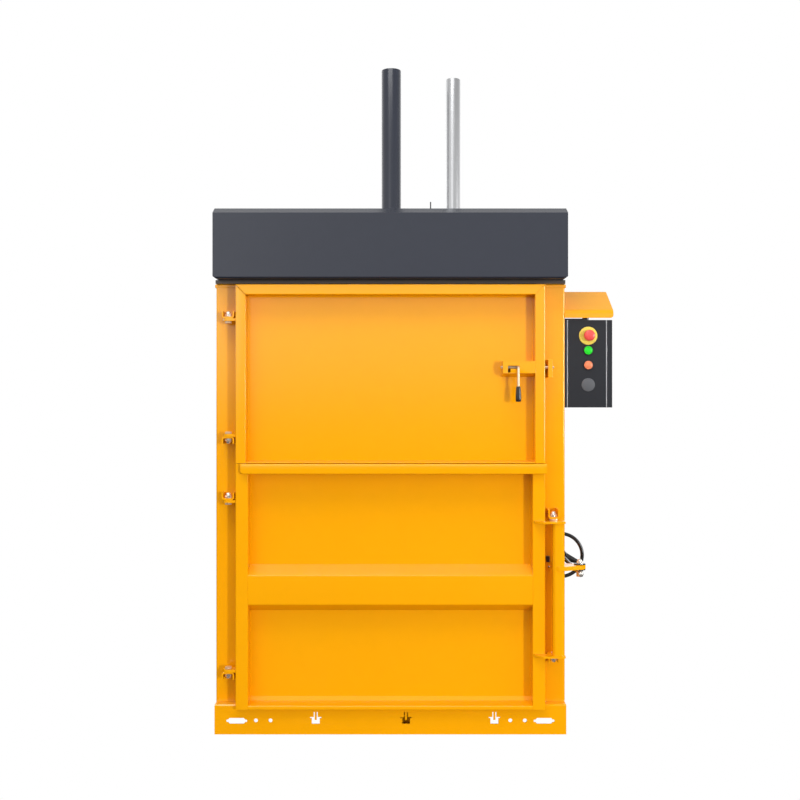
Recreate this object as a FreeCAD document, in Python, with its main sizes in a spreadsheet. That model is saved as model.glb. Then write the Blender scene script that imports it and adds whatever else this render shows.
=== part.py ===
import FreeCAD, Part
import math
import os
import Sketcher

# Recycling baler: a vertical waste press.  Millimetres, +Z up, +X right as the
# operator sees it, the doors face -Y.  The origin is on the floor, at the
# middle of the body in plan.  Every length comes from the sheet below.

SIZES = {
    # body
    "body_width": 1062, "body_depth": 600, "sheet": 3,
    "base_height": 90, "base_lead": 37, "base_bend": 4,
    "post_width": 100, "post_depth": 60, "roof_level": 1352,
    # header
    "top_plate_thick": 10, "top_plate_lip": 4.8, "tray_height": 11.6,
    "header_lead": 73, "header_height": 214.4, "header_slope_run": 37,
    "header_slope_rise": 18.8,
    # doors
    "door_lead": 57, "door_depth": 55, "recess_depth": 52,
    "stile_width": 30, "upper_inset": 66, "upper_low": 819.6,
    "upper_top": 1355.4, "top_rail_height": 30.4, "lower_inset": 66,
    "lower_stile_width": 37.5, "lower_low": 80, "lower_body_top": 787.9,
    "rail_height": 30.5, "rail_lead": 15, "beam_low": 395.1,
    "beam_high": 483, "beam_slant": 26.4,
    # hinges
    "hinge_inset": 42, "hinge_lead": 35, "bracket_width": 38,
    "bracket_leg": 22, "lock_bracket_leg": 28, "bracket_thick": 5, "bolt_radius": 6,
    "running_gap": 0.05,
    # latch
    "latch_level": 1108, "latch_radius": 4, "latch_inset": 39,
    "housing_low": 1089.9, "housing_high": 1126.5, "handle_drop": 104,
    # lock clamp
    "lock_inset": 40, "lock_lead": 45, "tube_radius": 18,
    "tube_reach": 11, "tube_lead": 25.6, "clamp_low": 242, "clamp_high": 647.5,
    "clamp_plate": 6, "lock_collar": 5.2,
    "lever_top": 509, "lever_thick": 8, "lever_width": 42,
    "pin_outset": 39, "screw_level": 488, "screw_radius": 6.5,
    "wheel_radius": 73, "wheel_tube": 5.65, "wheel_depth": 33,
    # control box
    "box_gap": 3, "box_width": 146, "box_low": 986.5,
    "box_height": 268.4, "box_recess": 14, "box_depth": 130,
    "button_inset": 72, "roof_overhang": 150,
    # press
    "barrel_radius": 30.75, "bore_radius": 25, "barrel_top": 2107,
    "rod_radius": 16, "guide_radius": 22.5, "guide_column": 206,
    "guide_top": 2077, "plate_low": 1262, "plate_height": 70,
    "wand_column": 131, "wand_top": 1670,
    # power unit
    "tank_inset": 31, "tank_length": 340, "tank_half_depth": 200,
    "tank_height": 160, "motor_left": 262, "motor_length": 180,
    "motor_radius": 75, "motor_line": 110, "pump_length": 72,
    "rear_wall_inset": 30, "wall_rib": 44, "rib_height": 70,
}

doc = FreeCAD.newDocument("recycling_baler")
dims = doc.addObject("Spreadsheet::Sheet", "dims")
for row, (alias, value) in enumerate(SIZES.items(), 1):
    dims.set(f"A{row}", alias)
    dims.set(f"B{row}", str(value))
    dims.setAlias(f"B{row}", alias)
doc.recompute()


class Size:
    """A length that carries both its value and its formula in the sheet."""

    def __init__(self, value, formula):
        self.value = float(value)
        self.formula = formula

    def __add__(self, other):
        other = sized(other)
        return Size(self.value + other.value, f"({self.formula} + {other.formula})")

    def __sub__(self, other):
        other = sized(other)
        return Size(self.value - other.value, f"({self.formula} - {other.formula})")

    def __mul__(self, other):
        other = sized(other)
        return Size(self.value * other.value, f"({self.formula} * {other.formula})")

    def __truediv__(self, other):
        other = sized(other)
        return Size(self.value / other.value, f"({self.formula} / {other.formula})")

    def __neg__(self):
        return Size(-self.value, f"(-1 * {self.formula})")

    def __radd__(self, other):
        return sized(other) + self

    def __rsub__(self, other):
        return sized(other) - self

    __rmul__ = __mul__


def sized(number):
    """A plain number as a Size."""
    return number if isinstance(number, Size) else Size(number, repr(float(number)))


def from_sheet(alias):
    """The Size of one named cell."""
    return Size(SIZES[alias], "dims." + alias)


def bind(item, prop, size):
    """Tie one property to its formula."""
    item.setExpression(prop, sized(size).formula)


# ------------------------------------------------------------ building blocks

def plane_of(body, role):
    """One of the body's own origin planes."""
    return next(item for item in body.Origin.OriginFeatures if item.Role == role)


def sketch_on(body, name, plane, offset):
    """An empty sketch on a body plane, moved along the plane's normal."""
    sketch = body.newObject("Sketcher::SketchObject", name)
    sketch.AttachmentSupport = [(plane_of(body, plane + "_Plane"), "")]
    sketch.MapMode = "FlatFace"
    bind(sketch, "AttachmentOffset.Base.z", offset)
    return sketch


def draw_polygon(sketch, points):
    """A closed outline whose every corner follows the sheet."""
    points = [(sized(u), sized(v)) for u, v in points]
    first = len(sketch.Geometry)
    count = len(points)
    for step in range(count):
        start = points[step]
        end = points[(step + 1) % count]
        sketch.addGeometry(Part.LineSegment(
            FreeCAD.Vector(start[0].value, start[1].value, 0),
            FreeCAD.Vector(end[0].value, end[1].value, 0)), False)
    for step in range(count):
        following = first + (step + 1) % count
        sketch.addConstraint(Sketcher.Constraint(
            "Coincident", first + step, 2, following, 1))
    for step, (across, along) in enumerate(points):
        for kind, size in (("DistanceX", across), ("DistanceY", along)):
            index = sketch.addConstraint(Sketcher.Constraint(
                kind, -1, 1, first + step, 1, size.value))
            sketch.setExpression(f"Constraints[{index}]", size.formula)


def draw_circle(sketch, across, along, radius):
    """A circle whose centre and radius follow the sheet."""
    across, along, radius = sized(across), sized(along), sized(radius)
    index = sketch.addGeometry(Part.Circle(
        FreeCAD.Vector(across.value, along.value, 0),
        FreeCAD.Vector(0, 0, 1), radius.value), False)
    rule = sketch.addConstraint(Sketcher.Constraint("Radius", index, radius.value))
    sketch.setExpression(f"Constraints[{rule}]", radius.formula)
    for kind, size in (("DistanceX", across), ("DistanceY", along)):
        rule = sketch.addConstraint(Sketcher.Constraint(
            kind, -1, 1, index, 3, size.value))
        sketch.setExpression(f"Constraints[{rule}]", size.formula)


def outline(sketch, shape):
    """A shape is a list of corners, or (across, along, radius) for a circle."""
    if isinstance(shape, tuple):
        draw_circle(sketch, *shape)
    else:
        draw_polygon(sketch, shape)


def prism(name, plane, span, shapes):
    """A body padded from span[0] to span[1] along the plane's axis."""
    body = doc.addObject("PartDesign::Body", name)
    low, high = sized(span[0]), sized(span[1])
    sketch = sketch_on(body, name + "_sketch", plane, -high if plane == "XZ" else low)
    for shape in shapes:
        outline(sketch, shape)
    pad = body.newObject("PartDesign::Pad", name + "_pad")
    pad.Profile = sketch
    bind(pad, "Length", high - low)
    body.Tip = pad
    sketch.Visibility = False
    return body


def pocket(body, plane, span, shapes):
    """Cut shapes out of a body between span[0] and span[1]."""
    name = f"{body.Name}_cut{len(body.Group)}"
    low, high = sized(span[0]), sized(span[1])
    sketch = sketch_on(body, name + "_sketch", plane, -low if plane == "XZ" else high)
    for shape in shapes:
        outline(sketch, shape)
    cut = body.newObject("PartDesign::Pocket", name)
    cut.Profile = sketch
    bind(cut, "Length", high - low)
    body.Tip = cut
    sketch.Visibility = False
    return body


def place(item, x, y, z, turn=None):
    """Put an item at a point that follows the sheet."""
    if turn is not None:
        item.Placement = FreeCAD.Placement(FreeCAD.Vector(0, 0, 0), turn)
    bind(item, "Placement.Base.x", x)
    bind(item, "Placement.Base.y", y)
    bind(item, "Placement.Base.z", z)
    return item


TURNS = {
    "X": FreeCAD.Rotation(FreeCAD.Vector(0, 1, 0), 90),
    "Y": FreeCAD.Rotation(FreeCAD.Vector(1, 0, 0), -90),
    "Z": FreeCAD.Rotation(),
}


def box(name, across, along, up):
    """A block between pairs of X, Y and Z."""
    item = doc.addObject("Part::Box", name)
    for prop, pair in (("Length", across), ("Width", along), ("Height", up)):
        bind(item, prop, sized(pair[1]) - pair[0])
    return place(item, across[0], along[0], up[0])


def rod(name, axis, x, y, z, length, radius):
    """A round bar starting at a point and running along an axis."""
    item = doc.addObject("Part::Cylinder", name)
    bind(item, "Radius", radius)
    bind(item, "Height", length)
    return place(item, x, y, z, TURNS[axis])


def turned(name, axis, x, y, z, points):
    """A turned piece: (radius, height) corners spun about its own axis."""
    body = doc.addObject("PartDesign::Body", name)
    sketch = sketch_on(body, name + "_sketch", "XZ", sized(0))
    outline(sketch, points)
    spun = body.newObject("PartDesign::Revolution", name + "_turn")
    spun.Profile = sketch
    spun.ReferenceAxis = (sketch, ["V_Axis"])
    spun.Angle = 360
    body.Tip = spun
    sketch.Visibility = False
    return place(body, x, y, z, TURNS[axis])


def join(name, items, tidy=True):
    """One solid from touching items."""
    item = doc.addObject("Part::MultiFuse", name)
    item.Shapes = items
    item.Refine = tidy
    return item


def cut(name, base, tools):
    """The base with every tool taken out of it."""
    tool = tools[0] if len(tools) == 1 else join(name + "_tools", tools)
    item = doc.addObject("Part::Cut", name)
    item.Base = base
    item.Tool = tool
    item.Refine = True
    return item


def group(name, items):
    """Separate solids kept together under one name."""
    item = doc.addObject("Part::Compound", name)
    item.Links = items
    return item


def mirror(name, item):
    """The same piece on the other side of the middle plane."""
    twin = doc.addObject("Part::Mirroring", name)
    twin.Source = item
    twin.Base = FreeCAD.Vector(0, 0, 0)
    twin.Normal = FreeCAD.Vector(1, 0, 0)
    return twin


pieces = []


def piece(item, label):
    """Name a finished piece; each one becomes a file of its own."""
    item.Label = label
    pieces.append((label, item))
    return item


def rectangle(left, right, low, high):
    """Four corners of an upright rectangle."""
    return [(left, low), (right, low), (right, high), (left, high)]


d = {alias: from_sheet(alias) for alias in SIZES}
half = d["body_width"] / 2
back = d["body_depth"] / 2
front = -back
sheet = d["sheet"]
floor_top = d["base_height"]
roof = d["roof_level"]
inner = half - d["post_width"]
gap = d["running_gap"]

# ----------------------------------------------------------------------- base
# A folded front channel, a rear channel and two side rails carry the posts.
# Strap slots, truck slots and holes are punched in the front face.

base_front = front - d["base_lead"]
flange = sized(40)
bend = d["base_bend"]
front_profile = [
    (base_front, 0), (base_front + flange, 0), (base_front + flange, sheet),
    (base_front + sheet, sheet), (base_front + sheet, floor_top - sheet),
    (front + 80, floor_top - sheet), (front + 80, floor_top),
    (base_front + bend, floor_top), (base_front, floor_top - bend)]
base_panel = prism("base_panel", "YZ", (-half, half), [front_profile])
SLOT = [(-31.5, 39), (-29.5, 36.8), (-25.5, 36.8), (-21.5, 32), (21.5, 32), (25.5, 36.8),
        (29.5, 36.8), (31.5, 39), (31.5, 42.6), (29.5, 44.8), (25.5, 44.8), (21.5, 49.5),
        (-21.5, 49.5), (-25.5, 44.8), (-29.5, 44.8), (-31.5, 42.6)]
STRAP = [(-12, 31.9), (12, 31.9), (12, 48.6), (16, 48.6), (18, 50.5),
         (16, 52.5), (6, 52.5), (6, 67.6), (3, 67.6), (3, 43.5), (-3, 43.5),
         (-3, 67.6), (-6, 67.6), (-6, 52.5), (-16, 52.5), (-18, 50.5),
         (-16, 48.6), (-12, 48.6)]
openings = []
for side in (-1, 1):
    openings.append([(half * side * 0.874 + u, v) for u, v in SLOT])
    for place_at in (0.6817, 0.7646):
        openings.append((half * side * place_at, 42, 6))
STRAP_LINES = [half * part for part in (-0.42467, 0.08851, 0.59134)]
for centre in STRAP_LINES:
    openings.append([(centre + u, v) for u, v in STRAP])
pocket(base_panel, "XZ", (base_front, base_front + sheet), openings)
for side in (-1, 1):
    pocket(base_panel, "XY", (0, sheet), [(half * side * 0.9, base_front + 24, 7)])
piece(base_panel, "base_front_panel")

rear_profile = [
    (back, 0), (back, floor_top), (back - 80, floor_top),
    (back - 80, floor_top - sheet), (back - sheet, floor_top - sheet),
    (back - sheet, sheet), (back - flange, sheet), (back - flange, 0)]
base_rear = prism("base_rear", "YZ", (-half, half), [rear_profile])
for side in (-1, 1):
    pocket(base_rear, "XY", (0, sheet), [(half * side * 0.9, back - 20, 7)])
piece(base_rear, "base_rear_panel")

rail_span = (base_front + flange + 0.2, back - flange - 0.2)
rail_profile = [
    (half, 0), (half, floor_top - sheet - 0.2), (half - 60, floor_top - sheet - 0.2),
    (half - 60, floor_top - sheet * 2 - 0.2), (half - sheet, floor_top - sheet * 2 - 0.2),
    (half - sheet, sheet), (half - 12, sheet), (half - 12, 0)]
right_rail = prism("right_rail", "XZ", rail_span, [rail_profile])
piece(group("side_rails", [right_rail, mirror("left_rail", right_rail)]), "base_side_rails")

beam_span = (base_front + flange + 0.2, back - flange - 0.2)
beam_top = floor_top - sheet - 0.2
beam = prism("beam_channel", "XZ", beam_span, [[
    (4, 0), (24, 0), (24, sheet), (4 + sheet, sheet), (4 + sheet, beam_top - sheet),
    (90 - sheet, beam_top - sheet), (90 - sheet, 0), (90, 0), (90, beam_top),
    (4, beam_top)]])
beam_end = box("beam_end", (4, 90), (beam_span[0], beam_span[0] + sheet), (sheet, beam_top))
piece(join("centre_beam", [beam, beam_end]), "base_centre_beam")

# ---------------------------------------------------------------- body walls

def post_section(low, high):
    """A square tube section in plan, on the right side."""
    return [rectangle(inner, half, low, high),
            rectangle(inner + sheet, half - sheet, low + sheet, high - sheet)]


post_d = d["post_depth"]
for name, low, high in (("front", front, front + post_d), ("rear", back - post_d, back)):
    post = prism(name + "_post", "XY", (floor_top, roof), post_section(low, high))
    piece(group(name + "_posts", [post, mirror(name + "_post_twin", post)]), name + "_posts")

wall_span = (front + post_d, back - post_d)
wall = box("wall_sheet", (inner, inner + sheet), wall_span, (floor_top, roof))
wall_parts = [wall]
rib_face = inner + d["wall_rib"]
rib_h = d["rib_height"]
for index, part in enumerate((0.048, 0.475, 0.864)):
    low = floor_top + (roof - floor_top) * part
    channel = prism(f"wall_rib{index}", "XZ", wall_span, [[
        (inner + sheet, low), (rib_face, low), (rib_face, low + rib_h),
        (inner + sheet, low + rib_h), (inner + sheet, low + rib_h - sheet),
        (rib_face - sheet, low + rib_h - sheet), (rib_face - sheet, low + sheet),
        (inner + sheet, low + sheet)]])
    wall_parts.append(channel)
side_wall = join("side_wall", wall_parts)
piece(group("side_walls", [side_wall, mirror("side_wall_twin", side_wall)]), "side_walls")

rear_in = back - d["rear_wall_inset"]
rear_out = rear_in + sheet
rear_parts = [box("rear_sheet", (-inner, inner), (rear_in, rear_out), (floor_top, roof))]
for index, part in enumerate((0.048, 0.341, 0.634, 0.911)):
    low = floor_top + (roof - floor_top) * part
    rear_parts.append(prism(f"rear_rib{index}", "YZ", (-inner, inner), [[
        (rear_out, low), (back - 2, low), (back - 2, low + rib_h), (rear_out, low + rib_h),
        (rear_out, low + rib_h - sheet), (back - 2 - sheet, low + rib_h - sheet),
        (back - 2 - sheet, low + sheet), (rear_out, low + sheet)]]))
piece(join("rear_wall", rear_parts), "rear_wall")

floor_plate = box("floor_blank", (-inner, inner), (front, rear_in),
                  (floor_top, floor_top + 8))
grooves = [box(f"groove{n}", (centre - 8, centre + 8), (front, rear_in),
               (floor_top + 4, floor_top + 8))
           for n, centre in enumerate(STRAP_LINES)]
piece(cut("floor_plate", floor_plate, grooves), "floor_plate")

# --------------------------------------------------------------------- header
plate_top = roof + d["top_plate_thick"]
tray_top = plate_top + d["tray_height"]
guide_x = d["guide_column"]
guide_r = d["guide_radius"]
rod_r = d["rod_radius"]
barrel_r = d["barrel_radius"]
wand_x = d["wand_column"]
reach = half + d["top_plate_lip"]
top_plate = prism("top_plate", "XY", (roof, plate_top), [
    rectangle(-reach, reach, front, back), (0, 0, rod_r + 1.5),
    (guide_x, 0, guide_r + 1.5)])
piece(top_plate, "top_plate")

tray_front = front - 21
tray = prism("tray", "XY", (plate_top, tray_top), [rectangle(-half, half, tray_front, back)])
pocket(tray, "XY", (plate_top + sheet, tray_top), [
    rectangle(-half + sheet, half - sheet, tray_front + sheet, back - sheet)])
pocket(tray, "XY", (plate_top, plate_top + sheet), [
    (0, 0, barrel_r + 30), (guide_x, 0, guide_r + 14)])
piece(tray, "header_tray")

head_front = front - d["header_lead"]
head_top = tray_top + d["header_height"]
slope_y = head_front + d["header_slope_run"]
slope_z = head_top - d["header_slope_rise"]
cover = prism("cover", "YZ", (-half, half), [[
    (head_front, tray_top + bend), (head_front + bend, tray_top), (back, tray_top),
    (back, head_top), (slope_y, head_top), (head_front, slope_z)]])
pocket(cover, "YZ", (-half + sheet, half - sheet), [[
    (head_front + sheet, tray_top + bend + 1), (head_front + bend + 1, tray_top + sheet),
    (tray_front + sheet, tray_top + sheet), (tray_front + sheet, tray_top),
    (back - sheet, tray_top), (back - sheet, head_top - sheet),
    (slope_y + 0.6, head_top - sheet), (head_front + sheet, slope_z - 1.6)]])
pocket(cover, "XY", (head_top - sheet, head_top), [
    (0, 0, barrel_r + 1.5), (guide_x, 0, guide_r + 2), (wand_x, 0, 5)])
for side in (-1, 1):
    pocket(cover, "XZ", (head_front, back), [[
        ((half + 1) * side, tray_top - 1), ((half - 9) * side, tray_top - 1),
        ((half + 1) * side, tray_top + 6.5)]])
piece(cover, "header_cover")

# ------------------------------------------------------------ hydraulic press
barrel_top = d["barrel_top"]
bore = d["bore_radius"]
piece(turned("barrel", "Z", 0, 0, plate_top, [
    (bore, 0), (barrel_r + 29.5, 0), (barrel_r + 29.5, 12), (barrel_r, 12),
    (barrel_r, barrel_top - plate_top - 2), (barrel_r - 2, barrel_top - plate_top),
    (0, barrel_top - plate_top), (0, barrel_top - plate_top - 14),
    (bore, barrel_top - plate_top - 14)]), "cylinder_barrel")
gland = turned("gland", "Z", 0, 0, plate_top, [
    (rod_r + gap, 0), (bore, 0), (bore, 36), (rod_r + gap, 36)])
plate_low = d["plate_low"]
press_top = plate_low + d["plate_height"]
piston_top = barrel_top - 16
piece(turned("piston_rod", "Z", 0, 0, press_top, [
    (0, 0), (rod_r, 0), (rod_r, piston_top - press_top - 40),
    (bore - gap, piston_top - press_top - 40), (bore - gap, piston_top - press_top),
    (0, piston_top - press_top)]), "piston_rod")
guide_top = d["guide_top"]
piece(turned("guide_rod", "Z", guide_x, 0, press_top, [
    (0, 0), (guide_r, 0), (guide_r, guide_top - press_top - 3.5),
    (guide_r - 3.5, guide_top - press_top), (0, guide_top - press_top)]), "guide_rod")
bush = turned("guide_bush", "Z", guide_x, 0, plate_top, [
    (guide_r + gap, 0), (guide_r + 13, 0), (guide_r + 13, 60), (guide_r + 10, 64),
    (guide_r + gap, 64)])
piece(group("bushes", [gland, bush]), "rod_bushes")

ram_half = inner - 6
ram_y = (front + 4, rear_in - 6)
ram_parts = [box("ram_face", (-ram_half, ram_half), ram_y, (plate_low, plate_low + 12))]
for index, across in enumerate((-ram_half, -170.0, 170.0, ram_half - 10)):
    ram_parts.append(box(f"ram_rib{index}", (across, sized(across) + 10), ram_y,
                         (plate_low + 12, press_top - 12)))
for index, along in enumerate((ram_y[0], sized(-60), sized(50), ram_y[1] - 10)):
    ram_parts.append(box(f"ram_bar{index}", (-ram_half, ram_half), (along, along + 10),
                         (plate_low + 12, press_top - 12)))
ram_parts.append(box("ram_seat", (-180, guide_x + 60), (-60, 60),
                     (press_top - 12, press_top)))
piece(join("press_plate", ram_parts), "press_plate")

# power unit under the cover
unit_low = plate_top + sheet
tank_left = -(half - d["tank_inset"])
tank_right = tank_left + d["tank_length"]
tank_half = d["tank_half_depth"]
tank_high = unit_low + d["tank_height"]
tank = box("tank_blank", (tank_left, tank_right), (-tank_half, tank_half),
           (unit_low, tank_high))
tank_void = box("tank_void", (tank_left + 3, tank_right - 3),
                (3 - tank_half, tank_half - 3), (unit_low + 3, tank_high - 3))
piece(cut("oil_tank", tank, [tank_void]), "oil_tank")
motor_r = d["motor_radius"]
motor_x = d["motor_left"]
motor_end = motor_x + d["motor_length"]
motor_y = d["motor_line"]
motor_level = unit_low + motor_r + 15
foot_y = (motor_y - 60, motor_y + 60)
foot_z = (unit_low, motor_level - motor_r + 19)
pump_x = motor_x - d["pump_length"]
piece(join("motor", [
    rod("motor_can", "X", motor_x, motor_y, motor_level, motor_end - motor_x, motor_r),
    rod("motor_cap", "X", motor_end, motor_y, motor_level, 28, motor_r - 11),
    box("motor_foot_a", (motor_x + 23, motor_x + 53), foot_y, foot_z),
    box("motor_foot_b", (motor_end - 57, motor_end - 27), foot_y, foot_z)]), "pump_motor")
piece(join("pump", [
    rod("pump_can", "X", pump_x, motor_y, motor_level, motor_x - pump_x, motor_r * 0.6),
    box("pump_port", (pump_x + 25, pump_x + 50), (motor_y + 40, motor_y + 60),
        (motor_level - 12, motor_level + 12))]), "pump")
block_x = pump_x - 70
piece(box("valve_block", (block_x, pump_x), (motor_y - 40, motor_y + 40),
          (unit_low, motor_level + 30)), "valve_block")
pipe_z = motor_level - 40
pressure = join("pressure_pipe", [
    rod("pressure_a", "X", 20, motor_y, pipe_z, block_x - 20, 8),
    rod("pressure_b", "Y", 20, 0, pipe_z, motor_y, 8),
    place(doc.addObject("Part::Sphere", "pressure_elbow"), 20, motor_y, pipe_z)])
doc.getObject("pressure_elbow").Radius = 8
pressure_line = cut("pressure_line", pressure, [
    rod("pressure_trim", "Z", 0, 0, pipe_z - 40, 80, barrel_r)])
suction_x = pump_x + 37.5
suction_y = motor_y + 75
suction = join("suction", [
    rod("suction_a", "X", tank_right, suction_y, motor_level, suction_x - tank_right, 11),
    rod("suction_b", "Y", suction_x, motor_y + 60, motor_level, 15, 11),
    place(doc.addObject("Part::Sphere", "suction_elbow"), suction_x, suction_y, motor_level)])
doc.getObject("suction_elbow").Radius = 11
piece(group("pipes", [pressure_line, suction]), "hydraulic_pipes")
piece(join("top_switch", [
    box("switch_body", (wand_x - 16, wand_x + 16), (-18, 18), (unit_low, unit_low + 70)),
    rod("switch_wand", "Z", wand_x, 0, unit_low + 70, d["wand_top"] - unit_low - 70, 2)]),
    "limit_switch")

# --------------------------------------------------------------------- hinges
# Each ear swings on a bolt held in a strap bent to a U and welded to the post.
hinge_x = -(half - d["hinge_inset"])
hinge_y = front - d["hinge_lead"]
bolt_r = d["bolt_radius"]
bar = d["bracket_thick"]
leg = d["bracket_leg"]
lock_leg = d["lock_bracket_leg"]
wide = d["bracket_width"] / 2
ear_thick = 8
EARS = (("upper_top", 1255.5, 1), ("upper_low", 899.0, -1),
        ("lower_top", 708.4, 1), ("lower_low", 190.0, -1))
lock_x = half - d["lock_inset"]
lock_y = front - d["lock_lead"]


def strap(name, x, y, level, way):
    """A bent strap whose web lies on a level and whose legs point one way."""
    z0 = sized(level)
    z1 = z0 + (lock_leg if name.endswith("strap_top") else leg) * way
    web = z0 + bar * way
    corners = [(x - wide, z1), (x - wide, z0 + 8 * way), (x - wide + 2.3, z0 + 2.3 * way),
               (x - wide + 8, z0), (x + wide - 8, z0), (x + wide - 2.3, z0 + 2.3 * way),
               (x + wide, z0 + 8 * way), (x + wide, z1),
               (x + wide - bar, z1), (x + wide - bar, web), (x - wide + bar, web),
               (x - wide + bar, z1)]
    item = prism(name, "XZ", (y - 14, front), [corners])
    pocket(item, "XY", (z0, web) if way > 0 else (web, z0), [(x, y, bolt_r)])
    return item


def pivot_bolt(name, x, y, level, way):
    """A bolt through an ear and a web, head on the far side of the ear."""
    z0 = sized(level)
    plate = ear_thick if name.startswith("hinge") else d["clamp_plate"]
    collar = d["lock_collar"] if name == "lock_bolt_top" else 0
    shank_low = z0 - (plate + collar + gap * 4) * way
    head = rod(name + "_head", "Z", x, y, shank_low - 7 if way > 0 else shank_low, 7, 9.5)
    low, high = (shank_low, z0 + bar + 6) if way > 0 else (z0 - bar - 6, shank_low)
    shank = rod(name + "_shank", "Z", x, y, low, high - low, bolt_r)
    if collar:
        ring = rod(name + "_collar", "Z", x, y, z0 - collar, collar, 13)
        return join(name, [head, shank, ring])
    return join(name, [head, shank])


def dome_nut(name, x, y, level, way):
    """A domed cap nut on the web, its blind thread over the bolt's end."""
    profile = [(bolt_r, 0), (9.5, 0), (9.5, 9), (7.5, 13.5), (3.5, 16.5), (0, 17.5),
               (0, 6.2), (bolt_r, 6.2)]
    item = turned(name, "Z", x, y, level + bar * way, profile)
    if way < 0:
        item.Placement.Rotation = FreeCAD.Rotation(FreeCAD.Vector(1, 0, 0), 180)
    return item


straps = []
bolts = []
nuts = []
for name, level, way in EARS:
    straps.append(strap(f"hinge_strap_{name}", hinge_x, hinge_y, level, way))
    bolts.append(pivot_bolt(f"hinge_bolt_{name}", hinge_x, hinge_y, level, way))
    nuts.append(dome_nut(f"hinge_nut_{name}", hinge_x, hinge_y, sized(level), way))
for name, level, way in (("top", d["clamp_high"] + d["lock_collar"], 1),
                         ("low", d["clamp_low"], -1)):
    straps.append(strap(f"lock_strap_{name}", lock_x, lock_y, level, way))
    bolts.append(pivot_bolt(f"lock_bolt_{name}", lock_x, lock_y, level, way))
    nuts.append(dome_nut(f"lock_nut_{name}", lock_x, lock_y, level, way))
piece(group("pivot_brackets", straps), "pivot_brackets")
piece(group("pivot_bolts", bolts), "pivot_bolts")
piece(group("dome_nuts", nuts), "dome_nuts")


def ear(name, door_edge, level, way):
    """A flat eye from the hinge axis to the door's edge."""
    z0 = sized(level)
    pair = (z0 - ear_thick - gap, z0 - gap) if way > 0 else (z0 + gap, z0 + ear_thick + gap)
    blade = join(name, [
        rod(name + "_eye", "Z", hinge_x, hinge_y, pair[0], ear_thick, 16),
        box(name + "_bar", (hinge_x, door_edge), (hinge_y - 16, hinge_y + 16), pair)])
    return cut(name + "_cut", blade, [
        rod(name + "_hole", "Z", hinge_x, hinge_y, pair[0] - 1, ear_thick + 2, bolt_r + gap)])


# ----------------------------------------------------------------- upper door
door_front = front - d["door_lead"]
door_back = door_front + d["door_depth"]
panel_face = door_front + d["recess_depth"]
u_half = half - d["upper_inset"]
u_low = d["upper_low"]
u_top = d["upper_top"]
stile = d["stile_width"]
u_rail = u_top - d["top_rail_height"]
upper = prism("upper_door", "YZ", (-u_half, u_half), [
    rectangle(door_front, door_back, u_low, u_top)])
pocket(upper, "YZ", (-u_half + stile, u_half - stile), [[
    (door_front, u_low + 2.6), (panel_face, u_low + 6), (panel_face, u_rail),
    (door_front, u_rail)]])
hollow = (door_front + sheet, door_back)
pocket(upper, "XZ", hollow, [
    rectangle(-u_half + sheet, -u_half + stile - sheet, u_low + sheet, u_top - sheet),
    rectangle(u_half - stile + sheet, u_half - sheet, u_low + sheet, u_top - sheet)])
pocket(upper, "XZ", hollow, [
    rectangle(-u_half + stile, u_half - stile, u_rail + sheet, u_top - sheet)])
latch_z = d["latch_level"]
latch_r = d["latch_radius"]
latch_y = door_front + 10
pocket(upper, "YZ", (u_half - stile, u_half), [(latch_y, latch_z, latch_r + gap)])
piece(upper, "upper_door_shell")
upper_ears = [ear(f"ear_{name}", -u_half, level, way) for name, level, way in EARS[:2]]
piece(group("upper_door_ears", upper_ears), "upper_door_ears")

# latch housing: a folded box with a slot for the handle
house_l = u_half - 127
house_r = u_half - stile
arm_x = u_half - 82
h_low = d["housing_low"]
h_high = d["housing_high"]
housing = prism("housing", "YZ", (house_l, house_r), [[
    (door_front, h_low), (panel_face, h_low - 10), (panel_face, h_high),
    (door_front, h_high)]])
pocket(housing, "YZ", (house_l + 2, house_r), [[
    (door_front + 2, h_low + 1.7), (panel_face, h_low - 8.0), (panel_face, h_high - 2),
    (door_front + 2, h_high - 2)]])
pocket(housing, "YZ", (house_l, house_l + 2), [(latch_y, latch_z, latch_r + gap)])
pocket(housing, "XZ", (door_front, door_front + 2), [[
    (arm_x - 30, latch_z - 16), (arm_x - 22.5, latch_z - 16),
    (arm_x - 22.5, latch_z - 4.5), (arm_x + 5, latch_z - 4.5), (arm_x + 5, latch_z + 4.5),
    (arm_x - 30, latch_z + 4.5)]])
piece(housing, "latch_housing")

# latch bolt with its cranked handle
arm_y = door_front - 10
drop = d["handle_drop"]
bolt_parts = [
    rod("latch_bar", "X", house_l - 6, latch_y, latch_z, half - d["latch_inset"] - house_l + 6, latch_r),
    rod("latch_arm", "Y", arm_x, arm_y, latch_z, latch_y - arm_y, 3.6),
    place(doc.addObject("Part::Sphere", "latch_elbow"), arm_x, arm_y, latch_z),
    rod("latch_stem", "Z", arm_x, arm_y, latch_z - drop + 40, drop - 40, 3.6)]
doc.getObject("latch_elbow").Radius = 3.6
piece(join("latch_bolt", bolt_parts), "latch_bolt")
piece(turned("latch_grip", "Z", arm_x, arm_y, latch_z - drop, [
    (0, 0), (6, 0), (8.4, 4), (8.4, 12), (6.4, 44), (5, 46), (3.6, 46), (3.6, 40),
    (0, 40)]), "latch_grip")

keep_x = u_half + 6
keeper = prism("keeper", "XY", (latch_z - 31, latch_z + 23), [[
    (keep_x, front), (keep_x, door_front + 1), (keep_x + 16, door_front + 1),
    (keep_x + 16, door_front + 4), (keep_x + 4, door_front + 4), (keep_x + 4, front)]])
pocket(keeper, "YZ", (keep_x, keep_x + 4), [(latch_y, latch_z, latch_r + 2)])
piece(keeper, "latch_keeper")

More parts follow.
